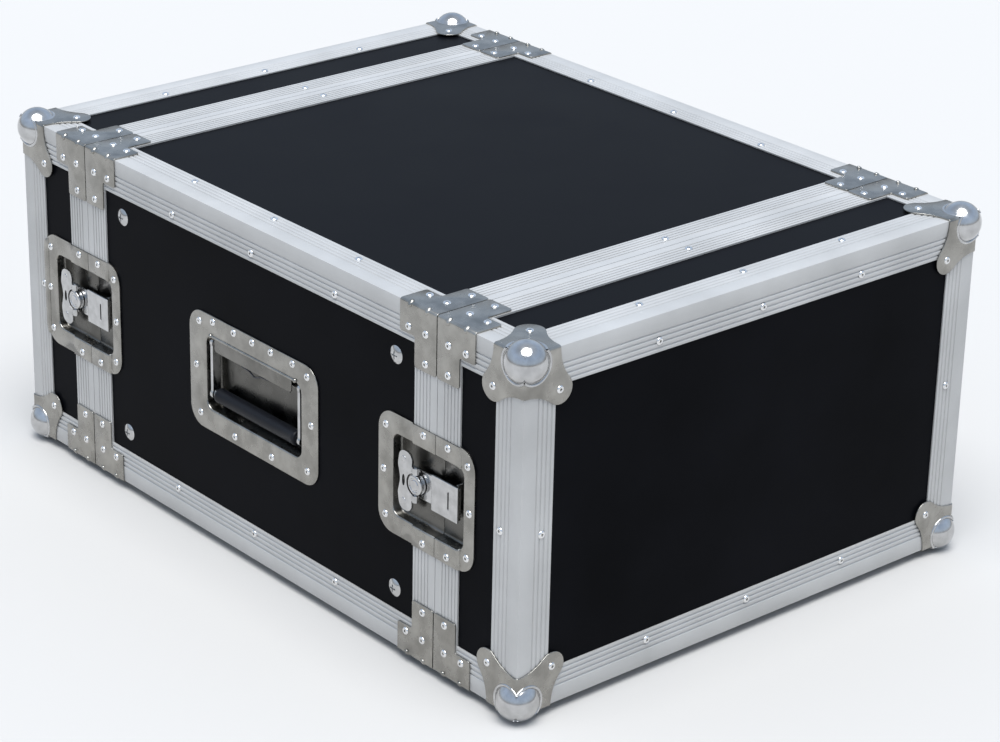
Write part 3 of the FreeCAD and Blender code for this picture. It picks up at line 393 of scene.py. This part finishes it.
def outline(corners, steps=5):
    """Points of a closed outline given as corners (u, v, radius) in millimetres."""
    points = []
    for index, (u, v, radius) in enumerate(corners):
        here = Vector((u, v))
        if radius == 0.0:
            points.append(here)
            continue
        before = (Vector(corners[index - 1][:2]) - here).normalized()
        after = (Vector(corners[(index + 1) % len(corners)][:2]) - here).normalized()
        half = before.angle(after) / 2.0
        centre = here + (before + after).normalized() * (radius / sin(half))
        start = here + before * (radius / tan(half)) - centre
        stop = here + after * (radius / tan(half)) - centre
        first = atan2(start.y, start.x)
        sweep = (atan2(stop.y, stop.x) - first + pi) % (2.0 * pi) - pi
        for step in range(steps + 1):
            angle = first + sweep * step / steps
            points.append(centre + radius * Vector((cos(angle), sin(angle))))
    return points


def sheet_face(bm, points, place):
    """One flat face through outline points; place turns (u, v) into a spot."""
    verts = [bm.verts.new(place(u, v)) for u, v in points]
    return bm.faces.new(verts)


def thick(piece, depth, edge, segments=2):
    """Sheet thickness behind the outer face, and rounded sheared edges."""
    wall = piece.modifiers.new("sheet thickness", "SOLIDIFY")
    wall.thickness = depth
    wall.offset = -1.0
    rim = piece.modifiers.new("sheared edges", "BEVEL")
    rim.width = edge
    rim.segments = segments
    rim.limit_method = "ANGLE"
    rim.angle_limit = radians(50.0)


def outward(bm, way):
    """Turns an open shell so that its faces look a given way on the whole."""
    bmesh.ops.recalc_face_normals(bm, faces=bm.faces)
    if sum(f.calc_area() * f.normal.dot(Vector(way)) for f in bm.faces) < 0.0:
        bmesh.ops.reverse_faces(bm, faces=bm.faces)


def brace_pair(toward):
    """Side leaf, fold and top leaf beside the front left top seam."""
    bm = bmesh.new()
    x, z = -SIDE - SHEET * MM, TOP + SHEET * MM
    shape = outline([(BRACE_GAP, FOLD, 0), (BRACE_GAP, BRACE_SEAM, 2.5), (BRACE_WIDE, BRACE_SEAM, 2.5),
                     (BRACE_WIDE, BRACE_WIDE, 2.0), (BRACE_EDGE, BRACE_WIDE, 2.5), (BRACE_EDGE, FOLD, 0)], 4)
    side = sheet_face(bm, shape, lambda u, v: (x, SEAM + toward * u * MM, z - v * MM))
    fold = [e for e in side.edges if all(abs(vert.co.z - (z - FOLD * MM)) < 0.000001 for vert in e.verts)]
    verts = list({v for e in fold for v in e.verts})
    bmesh.ops.spin(bm, geom=verts + fold, cent=(x + FOLD * MM, SEAM, z - FOLD * MM), axis=(0, 1, 0),
                   angle=radians(90.0), steps=5, use_merge=False, use_normal_flip=False, use_duplicate=False)
    sheet_face(bm, shape, lambda u, v: (x + v * MM, SEAM + toward * u * MM, z))
    welded(bm, 0.00002)
    outward(bm, (-1, 0, 1))
    return bm


DIMPLE = (4.0, 2.8, 2.2)
DIMPLE_SHARES = (0.28, 0.74)
DIMPLE_IN = 0.2 * MM


def dimples(toward):
    """Two gussets pressed across the fold of one brace."""
    bm = bmesh.new()
    for share in DIMPLE_SHARES:
        made = bmesh.ops.create_uvsphere(bm, u_segments=14, v_segments=8, radius=1.0)["verts"]
        bmesh.ops.scale(bm, vec=[size * MM for size in DIMPLE], verts=made)
        y = SEAM + toward * BRACE_EDGE * share * MM
        spot = Matrix.Translation((-SIDE + DIMPLE_IN, y, TOP - DIMPLE_IN))
        bmesh.ops.transform(bm, matrix=spot @ Matrix.Rotation(radians(-45.0), 4, "Y"), verts=made)
    return bm


for body, node, toward, planes in (("case_body", "body_brace_corners", 1.0, "xzy"),
                                   ("front_lid", "front_lid_brace_corners", -1.0, "xz"),
                                   ("rear_lid", "rear_lid_brace_corners", -1.0, "xz")):
    leaves, gussets = brace_pair(toward), dimples(toward)
    for bm in (leaves, gussets):
        mirrored(bm, *planes)
        if body == "rear_lid":
            flip_end(bm)
    thick(shown(body + "_braces", leaves, body, steel, "plated_steel", node), SHEET * MM, SHEARED)
    shown(body + "_brace_gussets", gussets, body, steel, "plated_steel", smooth=80.0)


# ---- Bright steel hardware kept close to its CAD shape: hook plates, bails
# and rail bolts, with their sheared edges rounded over.
def bright_steel(name, low, high):
    """Nickel plate, nearly mirror bright, with fine wipe marks."""
    paint, pn, pl, shader = finish(name)
    marks = speckle(pn, pl, 120.0, 4.0)
    pl.new(ramp(pn, pl, marks, (low, low, low), (high, high, high)), shader.inputs["Base Color"])
    pl.new(spread(pn, pl, marks, 0.1, 0.2), shader.inputs["Roughness"])
    shader.inputs["Metallic"].default_value = 1.0
    return paint


bright = bright_steel("bright steel", 0.44, 0.58)


def softened(node, paint, slot, width, segments=2):
    """The CAD shape as one merged shell with rounded edges."""
    bm = bmesh.new()
    bm.from_mesh(nodes[node].data)
    welded(bm, 0.000005)
    body = nodes[node]["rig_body"]
    piece = shown(node + "_shown", bm, body, paint, slot, node, smooth=30.0)
    edges = piece.modifiers.new("rounded edges", "BEVEL")
    edges.width = width
    edges.segments = segments
    edges.limit_method = "ANGLE"
    edges.angle_limit = radians(40.0)
    edges.use_clamp_overlap = True


def placed(bm, end, side):
    """Carries a bmesh drawn at the front left to its own end and side."""
    if side == "right":
        bmesh.ops.scale(bm, vec=(-1.0, 1.0, 1.0), verts=bm.verts)
        bmesh.ops.reverse_faces(bm, faces=bm.faces)
    if end == "rear":
        bmesh.ops.translate(bm, vec=(0, -2 * SEAM, 0), verts=bm.verts)
    return bm


def side_spot(offset, height, depth):
    """Spot on the left side from the front seam, mid height and outer face."""
    return Vector((-SIDE + depth * MM, SEAM + offset * MM, MIDDLE + height * MM))


def tray(outer, inner, face, floor, spot, rim, root):
    """Flange with a recess pressed into it, rounded at the rim and the root."""
    bm = bmesh.new()
    loops = []
    for points in (outer, inner):
        verts = [bm.verts.new(spot(u, v, face)) for u, v in points]
        loops.append([bm.edges.new((verts[i - 1], verts[i])) for i in range(len(verts))])
    bmesh.ops.bridge_loops(bm, edges=loops[0] + loops[1])
    wall = bmesh.ops.extrude_edge_only(bm, edges=loops[1])["geom"]
    sunk = [g for g in wall if isinstance(g, bmesh.types.BMVert)]
    bmesh.ops.translate(bm, vec=((floor - face) * MM, 0, 0), verts=sunk)
    deep = [g for g in wall if isinstance(g, bmesh.types.BMEdge)]
    bmesh.ops.edgeloop_fill(bm, edges=deep)
    rounded(bm, deep, root)
    rounded(bm, loops[1], rim)
    return bm


def plate_outline(low_u, high_u, half_v, radius):
    """Outline of an oblong plate with rounded corners."""
    corners = ((low_u, -half_v), (high_u, -half_v), (high_u, half_v), (low_u, half_v))
    return outline([(u, v, radius) for u, v in corners], 7)


def rod(bm, radius, length, place, segments):
    """A plain round bar about the Z axis of a placing matrix."""
    bmesh.ops.create_cone(bm, cap_ends=True, segments=segments, radius1=radius * MM, radius2=radius * MM,
                          depth=length * MM, matrix=place)


def turned(bm, geom, centre, axis, steps):
    """Spins a profile all the way round an axis."""
    bmesh.ops.spin(bm, geom=geom, cent=centre, axis=axis, angle=2 * pi, steps=steps, use_merge=True)


# ---- Ball corners: one pressing per corner, a chrome-bright ball with a rolled
# collar, and three petals that lie on the faces and take one rivet each.
BALL_R = 18.45
BALL_IN = 9.5
LOBE_AT = 36.0
LOBE_R = 13.0
WEB_AT = 76.35
WEB_R = 40.35
COLLAR_R = 15.9
COLLAR_WIDE = 1.3
COLLAR_HIGH = 1.0
COLLAR_END = 1.9 * MM
START = FOLD - SHEET


def corner_spot(p, q, r):
    """Spot from inward distances at the front left top corner."""
    return Vector((-SIDE + p * MM, FRONT + q * MM, TOP - r * MM))


def rolled(triple, turn):
    """The same three numbers taken to the next face round the corner."""
    return triple[-turn:] + triple[:-turn]


def corner_petals():
    """Three petals joined by the folds over the arrises."""
    bm = bmesh.new()
    scallop = [Vector((WEB_AT + WEB_R * cos(radians(a)), START + WEB_R * sin(radians(a))))
               for a in (180, 174, 168, 162, 156, 150, 145, 139.2)]
    lobe = [Vector((LOBE_AT + LOBE_R * cos(radians(a)), LOBE_AT + LOBE_R * sin(radians(a))))
            for a in range(-28, 119, 12)]
    shape = [Vector((START, START))] + scallop + lobe + [Vector((p.y, p.x)) for p in reversed(scallop)]
    quarter = [pi * k / 12.0 for k in range(7)]
    for turn in range(3):
        sheet_face(bm, shape, lambda u, v: corner_spot(*rolled((u, v, -SHEET), turn)))
        bend = []
        for v in (START, scallop[0].x):
            arc = [(START - FOLD * sin(a), v, START - FOLD * cos(a)) for a in quarter]
            bend.append([bm.verts.new(corner_spot(*rolled(p, turn))) for p in arc])
        for k in range(len(quarter) - 1):
            bm.faces.new((bend[0][k], bend[0][k + 1], bend[1][k + 1], bend[1][k]))
    welded(bm, 0.00002)
    outward(bm, (-1, -1, 1))
    return bm


def corner_ball():
    """The ball's outer cap and the collar round it on the three faces."""
    bm = bmesh.new()
    centre = corner_spot(BALL_IN, BALL_IN, BALL_IN)
    made = bmesh.ops.create_uvsphere(bm, u_segments=48, v_segments=28, radius=BALL_R * MM)["verts"]
    bmesh.ops.rotate(bm, matrix=Matrix.Rotation(radians(54.7), 3, Vector((1, -1, 0))), verts=made)
    bmesh.ops.translate(bm, vec=centre, verts=made)
    for turn in range(3):
        ring = bmesh.new()
        hoop = []
        for a in [pi * k / 6.0 for k in range(7)]:
            across, over = BALL_IN + COLLAR_R + COLLAR_WIDE * cos(a), -SHEET - COLLAR_HIGH * sin(a)
            hoop.append(ring.verts.new(corner_spot(across, BALL_IN, over)))
        edges = [ring.edges.new(pair) for pair in zip(hoop, hoop[1:])]
        turned(ring, hoop + edges, corner_spot(BALL_IN, BALL_IN, 0), (0, 0, 1), 48)
        centres = [(f, f.calc_center_median()) for f in ring.faces]
        stray = [f for f, c in centres if min(c.x + SIDE, c.y - FRONT) < -COLLAR_END]
        bmesh.ops.delete(ring, geom=stray, context="FACES")
        for v in ring.verts:
            local = rolled((v.co.x + SIDE, v.co.y - FRONT, TOP - v.co.z), turn)
            v.co = Vector((-SIDE + local[0], FRONT + local[1], TOP - local[2]))
        data = bpy.data.meshes.new("collar")
        ring.to_mesh(data)
        ring.free()
        bm.from_mesh(data)
        bpy.data.meshes.remove(data)
    centres = [(f, f.calc_center_median()) for f in bm.faces]
    hidden = [f for f, c in centres if c.x > -SIDE and c.y > FRONT and c.z < TOP]
    bmesh.ops.delete(bm, geom=hidden, context="FACES")
    outward(bm, (-1, -1, 1))
    return bm


for end in ("front", "rear"):
    petals, balls = corner_petals(), corner_ball()
    for bm in (petals, balls):
        mirrored(bm, "x", "z")
        if end == "rear":
            flip_end(bm)
    lid = end + "_lid"
    sheet = shown(lid + "_ball_petals", petals, lid, steel, "bright_steel", lid + "_ball_corners")
    thick(sheet, SHEET * MM, SHEARED)
    shown(lid + "_balls", balls, lid, bright, "bright_steel", smooth=70.0)


# ---- Latch dishes: one oblong pressing parted at the seam, its flange stepped
# up over the seam strips and riveted.  The long half holds the post, the short
# half the keeper lip; at the rear the long half is the lid's.
STRIP = 29.1
REAR_ANGLE = 70.4
STEP_DOWN = 1.6 * MM
LATCH_FLOOR = 9.5
PRESSED = 0.4 * MM


def latch_tray(half, end):
    """The dish with only its post half (1) or keeper half (-1) kept."""
    plate, recess = plate_outline(-48, 75.5, 55, 18), plate_outline(-34, 57, 37, 8)
    bm = tray(plate, recess, -SHEET, LATCH_FLOOR, side_spot, rim=1.4, root=2.5)
    for offset in (-STRIP - SHEET, -STRIP, STRIP, STRIP + SHEET, REAR_ANGLE, REAR_ANGLE + SHEET):
        bmesh.ops.bisect_plane(bm, geom=bm.verts[:] + bm.edges[:] + bm.faces[:], dist=0.000001,
                               plane_co=side_spot(offset, 0, 0), plane_no=(0, 1, 0))
    for v in bm.verts:
        if abs(v.co.y - SEAM) > (STRIP + SHEET - 0.01) * MM and v.co.x < -SIDE + 0.5 * MM:
            over = end == "rear" and v.co.y - SEAM > (REAR_ANGLE + SHEET - 0.01) * MM
            v.co.x += 0.0 if over else STEP_DOWN
    bmesh.ops.bisect_plane(bm, geom=bm.verts[:] + bm.edges[:] + bm.faces[:], dist=0.000001,
                           plane_co=side_spot(HALF_GAP * half, 0, 0), plane_no=(0, half, 0), clear_inner=True)
    outward(bm, (-1, 0, 0))
    return bm


# ---- Latch posts, wings and hook plates: a turned stud with a stepped hub, an
# eccentric cam and a cross pin.  The wing hinges on that pin, and the hook
# plate rides on the cam.
POST_AT = 27.0
PIN_DEPTH = 0.6
KNUCKLE_UP = 12.5
WING_FACE = -1.0


def post_shapes():
    """Stud with its cam and cross pin, at the front left latch."""
    bm = bmesh.new()
    profile = [(0, -1.5), (4.4, -1.5), (4.9, -0.9), (6.0, -0.9), (6.4, -1.4), (7.8, -1.3), (8.7, -0.7),
               (9, 0.1), (9, 1.5), (8.3, 1.9), (9, 2.3), (9, 3.8), (4, 3.8), (4, 11.2), (6.5, 11.2),
               (6.5, 12.6), (0, 12.6)]
    row = [bm.verts.new(side_spot(POST_AT + r, 0, d)) for r, d in profile]
    edges = [bm.edges.new(pair) for pair in zip(row, row[1:])]
    turned(bm, row + edges, side_spot(POST_AT, 0, 0), (1, 0, 0), 40)
    welded(bm)
    cam = Matrix.Translation(side_spot(25.25, 0, 6.45)) @ Matrix.Rotation(radians(90.0), 4, "Y")
    rod(bm, 6.0, 5.3, cam, 28)
    rod(bm, 1.5, 32.4, Matrix.Translation(side_spot(POST_AT, 0, PIN_DEPTH)), 28)
    bmesh.ops.recalc_face_normals(bm, faces=bm.faces)
    return bm


def wing_plate():
    """Two-eared wing plate with an oval window, its outer face only."""
    bm = bmesh.new()
    ears = outline([(3.2, 10.8, 0.8), (3.2, 27, 7.5), (19, 27, 7.5), (21.5, 13, 8), (18.2, 0, 14),
                    (21.5, -13, 8), (19, -27, 7.5), (3.2, -27, 7.5), (3.2, -10.8, 0.8)], 6)
    notch = [Vector((10.3 * cos(radians(a)), 10.3 * sin(radians(a)))) for a in range(-70, 71, 10)]
    window = [Vector((14.2 + 1.9 * cos(radians(a)), 5.2 * sin(radians(a)))) for a in range(0, 360, 20)]
    edges = []
    for points in (ears + notch, window):
        verts = [bm.verts.new(side_spot(POST_AT + u, v, WING_FACE)) for u, v in points]
        edges += [bm.edges.new((verts[i - 1], verts[i])) for i in range(len(verts))]
    bmesh.ops.triangle_fill(bm, edges=edges, use_beauty=True, use_dissolve=False)
    outward(bm, (-1, 0, 0))
    return bm


def wing_fittings():
    """Knuckles on the cross pin, straps to the plate and two rivets."""
    bm = bmesh.new()
    for way in (-1, 1):
        rod(bm, 2.9, 6.0, Matrix.Translation(side_spot(POST_AT, way * KNUCKLE_UP, PIN_DEPTH)), 24)
        strap = Matrix.Translation(side_spot(28.9, way * KNUCKLE_UP, 0))
        bmesh.ops.create_cube(bm, size=1.0, matrix=strap @ Matrix.Diagonal((1.9 * MM, 3.8 * MM, 5.8 * MM, 1)))
        dome = Matrix.Translation(side_spot(41, way * 19.0, WING_FACE)) @ Matrix.Diagonal((0.7, 3.0, 3.0, 1))
        bmesh.ops.create_uvsphere(bm, u_segments=20, v_segments=10, radius=1.0 * MM, matrix=dome)
    bmesh.ops.recalc_face_normals(bm, faces=bm.faces)
    return bm


for end in ("front", "rear"):
    for side in ("left", "right"):
        tag = end + "_" + side
        holder, other = ("case_body", "front_lid") if end == "front" else ("rear_lid", "case_body")
        # Both dish halves use the recess steel with its painted shade.
        post_half = shown("dish_" + tag, placed(latch_tray(1, end), end, side), holder, recess_shaded_steel,
                          "plated_steel", "latch_dish_" + tag)
        keeper_half = shown("keeper_dish_" + tag, placed(latch_tray(-1, end), end, side), other, recess_shaded_steel,
                            "plated_steel", "latch_keeper_" + tag)
        for half in (post_half, keeper_half):
            thick(half, SHEET * MM, PRESSED)
        lip = bmesh.new()
        block = Matrix.Diagonal((3.4 * MM, 1.8 * MM, 30 * MM, 1))
        bmesh.ops.create_cube(lip, size=1.0, matrix=Matrix.Translation(side_spot(-18.1, 0, 8.3)) @ block)
        rounded(lip, lip.edges[:], 0.6)
        shown("keeper_lip_" + tag, placed(lip, end, side), other, bright, "plated_steel", smooth=60.0)
        shown("post_" + tag, placed(post_shapes(), end, side), "twist_" + tag, bright, "plated_steel",
              "latch_post_" + tag)
        wing = shown("wing_" + tag, placed(wing_plate(), end, side), "wing_" + tag, bright, "plated_steel",
                     "latch_wing_" + tag)
        thick(wing, 2.0 * MM, 0.5 * MM, 3)
        fittings = placed(wing_fittings(), end, side)
        shown("wing_fittings_" + tag, fittings, "wing_" + tag, bright, "plated_steel")
        softened("latch_drawbar_" + tag, bright, "plated_steel", 0.5 * MM, 3)


# ---- Recessed handles: a pressed tray riveted through the board, with a folded
# hinge lip across its top, and a bail that swings on a rod behind that lip.
PLATE_DEPTH = 0.1
HANDLE_FLOOR = 16.0
CREASE_UP = 36.4


def handle_spot(along, up, depth):
    """Spot on the left side from the middle of the handle."""
    return Vector((-SIDE + depth * MM, along * MM, MIDDLE + up * MM))


for side in ("left", "right"):
    plate, recess = plate_outline(-93.5, 93.5, 56, 18), plate_outline(-69.5, 69.5, 35, 9)
    pressing = tray(plate, recess, PLATE_DEPTH, HANDLE_FLOOR, handle_spot, rim=1.6, root=4.0)
    outward(pressing, (-1, 0, 0))
    # The handle tray uses the recess steel with its painted shade.
    piece = shown("handle_tray_" + side, placed(pressing, "front", side), "case_body", recess_shaded_steel,
                  "plated_steel", "handle_dish_" + side)
    thick(piece, SHEET * MM, PRESSED)
    lip = bmesh.new()
    sheet_face(lip, outline([(-56, 23, 3), (56, 23, 3), (56, 36, 0), (-56, 36, 0)], 5),
               lambda u, v: handle_spot(u, v, PLATE_DEPTH))
    outward(lip, (-1, 0, 0))
    # The hinge lip takes the darker steel copy as painted shade.
    piece = shown("hinge_lip_" + side, placed(lip, "front", side), "case_body", shaded_lip_steel, "plated_steel")
    thick(piece, SHEET * MM, 0.5 * MM, 3)
    crease = bmesh.new()
    ridge = Matrix.Translation(handle_spot(0, CREASE_UP, 0.3)) @ Matrix.Rotation(radians(90.0), 4, "X")
    rod(crease, 1.3, 122, ridge, 20)
    for way in (-1, 1):
        bmesh.ops.create_uvsphere(crease, u_segments=20, v_segments=12, radius=2.1 * MM,
                                  matrix=Matrix.Translation(handle_spot(way * 61.5, CREASE_UP, 0.2)))
    crease = placed(crease, "front", side)
    shown("hinge_crease_" + side, crease, "case_body", steel, "plated_steel", smooth=60.0)
    softened("bail_" + side, bright, "bright_steel", 0.6 * MM, 3)
softened("rail_bolts", bright, "bright_steel", 0.2 * MM)
for node in ("rail_nuts", "handle_hinge_rods"):
    repainted(node, steel)


# ---- Return springs: a wound torsion spring near each end of a handle's rod,
# of oil-blackened wire, with the inner legs joined behind the hinge lip.
COIL_STEPS = 84
STEPS_A_TURN = 12.0
COIL_R = 3.5

spring = bpy.data.curves.new("return_springs_shown", "CURVE")
spring.dimensions = "3D"
spring.bevel_depth = 0.8 * MM
spring.bevel_resolution = 2
for hand in (-1, 1):
    path = []
    for way in (-1, 1):
        coil = []
        for step in range(COIL_STEPS + 1):
            angle = 2.0 * pi * step / STEPS_A_TURN
            coil.append((way * (22.0 + 16.0 * step / COIL_STEPS), 28.0 + COIL_R * cos(angle),
                         6.5 + COIL_R * sin(angle)))
        leg = [(way * 38.0, 26, 10.0), (way * 38.2, 14, 12.5)]
        inside = [(way * 21.0, 25, 3.6), (way * 19.0, 21, 3.0), (way * 8.0, 20.2, 3.0),
                  (way * 4.0, 18.4, 3.0), (way * 1.5, 17.2, 3.0)]
        path.append(list(reversed(coil + leg)) + inside)
    whole = path[0] + list(reversed(path[1]))
    wire = spring.splines.new("POLY")
    wire.points.add(len(whole) - 1)
    for point, (along, up, depth) in zip(wire.points, whole):
        spot = handle_spot(along, up, depth)
        point.co = (hand * spot.x, spot.y, spot.z, 1.0)
springs = bpy.data.objects.new("return_springs_shown", spring)
scene.collection.objects.link(springs)


def spring_wire():
    """Oil-blackened spring steel."""
    paint, pn, pl, shader = finish("spring wire")
    marks = speckle(pn, pl, 300.0, 3.0)
    pl.new(ramp(pn, pl, marks, (0.05, 0.05, 0.055), (0.12, 0.12, 0.13)), shader.inputs["Base Color"])
    pl.new(spread(pn, pl, marks, 0.25, 0.4), shader.inputs["Roughness"])
    shader.inputs["Metallic"].default_value = 1.0
    return paint


dark_steel = spring_wire()
spring.materials.append(dark_steel)
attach(springs, "case_body")
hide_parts("handle_springs")


# ---- Rivets: domed tubular heads, each centre a dark disc of painted shade, set
# through the sheet metal into the plywood wherever the CAD rivets are.
RIVET_H = 1.3 * MM
PROUD = 0.5 * MM


def rivet_head():
    """Low dome with a pulled middle, about the Z axis."""
    bm = bmesh.new()
    profile = [(1.15, 0.5), (1.25, 1.0), (1.8, 1.28), (2.6, 1.1), (3.3, 0.6), (3.6, 0.0), (3.6, -0.2)]
    row = [bm.verts.new((r * MM, 0.0, h * MM)) for r, h in profile]
    edges = [bm.edges.new((a, b)) for a, b in zip(row, row[1:])]
    turned(bm, row + edges, (0, 0, 0), (0, 0, 1), 14)
    welded(bm)
    outward(bm, (0, 0, 1))
    return bm


def rivet_hole_shade():
    """Dark disc inside one head: painted shade in its hollow centre."""
    bm = bmesh.new()
    bmesh.ops.create_circle(bm, cap_ends=True, segments=10, radius=1.25 * MM,
                            matrix=Matrix.Translation((0, 0, 0.6 * MM)))
    return bm


def rivet_seats(node):
    """Seat point and outward direction of each rivet in a CAD node."""
    bm = bmesh.new()
    bm.from_mesh(nodes[node].data)
    welded(bm, 0.000005)
    left = set(bm.verts)
    seats = []
    while left:
        island, queue = [], [left.pop()]
        while queue:
            vert = queue.pop()
            island.append(vert.co.copy())
            for edge in vert.link_edges:
                other = edge.other_vert(vert)
                if other in left:
                    left.remove(other)
                    queue.append(other)
        low = Vector([min(p[i] for p in island) for i in range(3)])
        high = Vector([max(p[i] for p in island) for i in range(3)])
        seat = (low + high) / 2.0
        if max(-low.x, high.x) > SIDE + PROUD:
            axis, reach = 0, max(-low.x, high.x)
        elif max(-low.y, high.y) > -FRONT + PROUD:
            axis, reach = 1, max(-low.y, high.y)
        else:
            axis, reach = 2, 0.0
        out = Vector((0, 0, 0))
        if axis < 2:
            out[axis] = 1.0 if seat[axis] > 0 else -1.0
            seat[axis] = out[axis] * (reach - RIVET_H)
        else:
            out.z = 1.0 if seat.z > MIDDLE else -1.0
            seat.z = high.z - RIVET_H if out.z > 0 else low.z + RIVET_H
        seats.append((seat, out))
    bm.free()
    return sorted(seats, key=lambda s: tuple(s[0]))


# Painted highlight: a lighter copy of the bright steel, so the rivet heads show as bright glints.
rivet_highlight_steel = bright_steel("rivet steel, painted highlight", 0.7, 0.85)


def rivets_on(node, body):
    """All the rivets of one body: heads in a lighter steel as painted highlight, and dark discs of painted
    shade in their hollows.
    """
    # The hollows get dark discs in the darker steel copy, as painted shade.
    for make, paint, name in ((rivet_head, rivet_highlight_steel, "_shown"), (rivet_hole_shade, shaded_lip_steel, "_hole_shade")):
        single = bpy.data.meshes.new("rivet")
        one = make()
        one.to_mesh(single)
        one.free()
        bm = bmesh.new()
        for seat, out in rivet_seats(node):
            before = len(bm.verts)
            bm.from_mesh(single)
            bm.verts.ensure_lookup_table()
            turn = out.to_track_quat("Z", "Y").to_matrix().to_4x4()
            bmesh.ops.transform(bm, matrix=Matrix.Translation(seat) @ turn, verts=bm.verts[before:])
        bpy.data.meshes.remove(single)
        piece = shown(node + name, bm, body, paint, "rivet_steel", smooth=50.0)
        if make is rivet_head:
            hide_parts(node)


rivets_on("body_rivets", "case_body")
rivets_on("front_lid_rivets", "front_lid")
rivets_on("rear_lid_rivets", "rear_lid")


# ---- Handle grips: black rubber sleeves moulded over the bail's cross rod.
def black_rubber():
    """Satin black rubber with a fine moulded skin."""
    paint, pn, pl, shader = finish("black rubber")
    skin = speckle(pn, pl, 700.0, 2.0)
    pl.new(ramp(pn, pl, skin, (0.004, 0.0046, 0.0065), (0.008, 0.0088, 0.012)), shader.inputs["Base Color"])
    pl.new(spread(pn, pl, skin, 0.38, 0.5), shader.inputs["Roughness"])
    shader.inputs["Specular IOR Level"].default_value = 0.2
    relief(pn, pl, shader, skin, 0.0001, 0.3)
    return paint


rubber = black_rubber()
for side in ("left", "right"):
    low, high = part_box("grip_" + side)
    middle = (low + high) / 2.0
    radius = (high.z - low.z) / 2.0
    half = (high.y - low.y) / 2.0
    bm = bmesh.new()
    profile = [(0.5, 1.0), (0.86, 1.0), (0.97, 0.985), (1.0, 0.965), (1.0, 0.93), (0.96, 0.915),
               (0.97, 0.5), (0.975, 0.0)]
    row = [bm.verts.new((radius * r, half * a, 0.0)) for r, a in profile]
    row += [bm.verts.new((radius * r, -half * a, 0.0)) for r, a in reversed(profile[:-1])]
    ring = [bm.edges.new((a, b)) for a, b in zip(row, row[1:])] + [bm.edges.new((row[-1], row[0]))]
    turned(bm, ring, (0, 0, 0), (0, 1, 0), 40)
    welded(bm)
    bmesh.ops.recalc_face_normals(bm, faces=bm.faces)
    bmesh.ops.translate(bm, vec=middle, verts=bm.verts)
    shown("grip_sleeve_" + side, bm, side + "_handle", rubber, "grip_rubber", "grip_" + side, smooth=60.0)


# ---- Rack rails: folded steel angles in black paint, drilled for rack screws.
def black_paint():
    """Black stoved paint with slight orange peel."""
    paint, pn, pl, shader = finish("black paint")
    peel = speckle(pn, pl, 300.0, 2.0)
    pl.new(ramp(pn, pl, peel, (0.012, 0.012, 0.013), (0.02, 0.02, 0.021)), shader.inputs["Base Color"])
    pl.new(spread(pn, pl, peel, 0.3, 0.4), shader.inputs["Roughness"])
    relief(pn, pl, shader, peel, 0.0001, 0.2)
    return paint


repainted("rack_rails", black_paint())
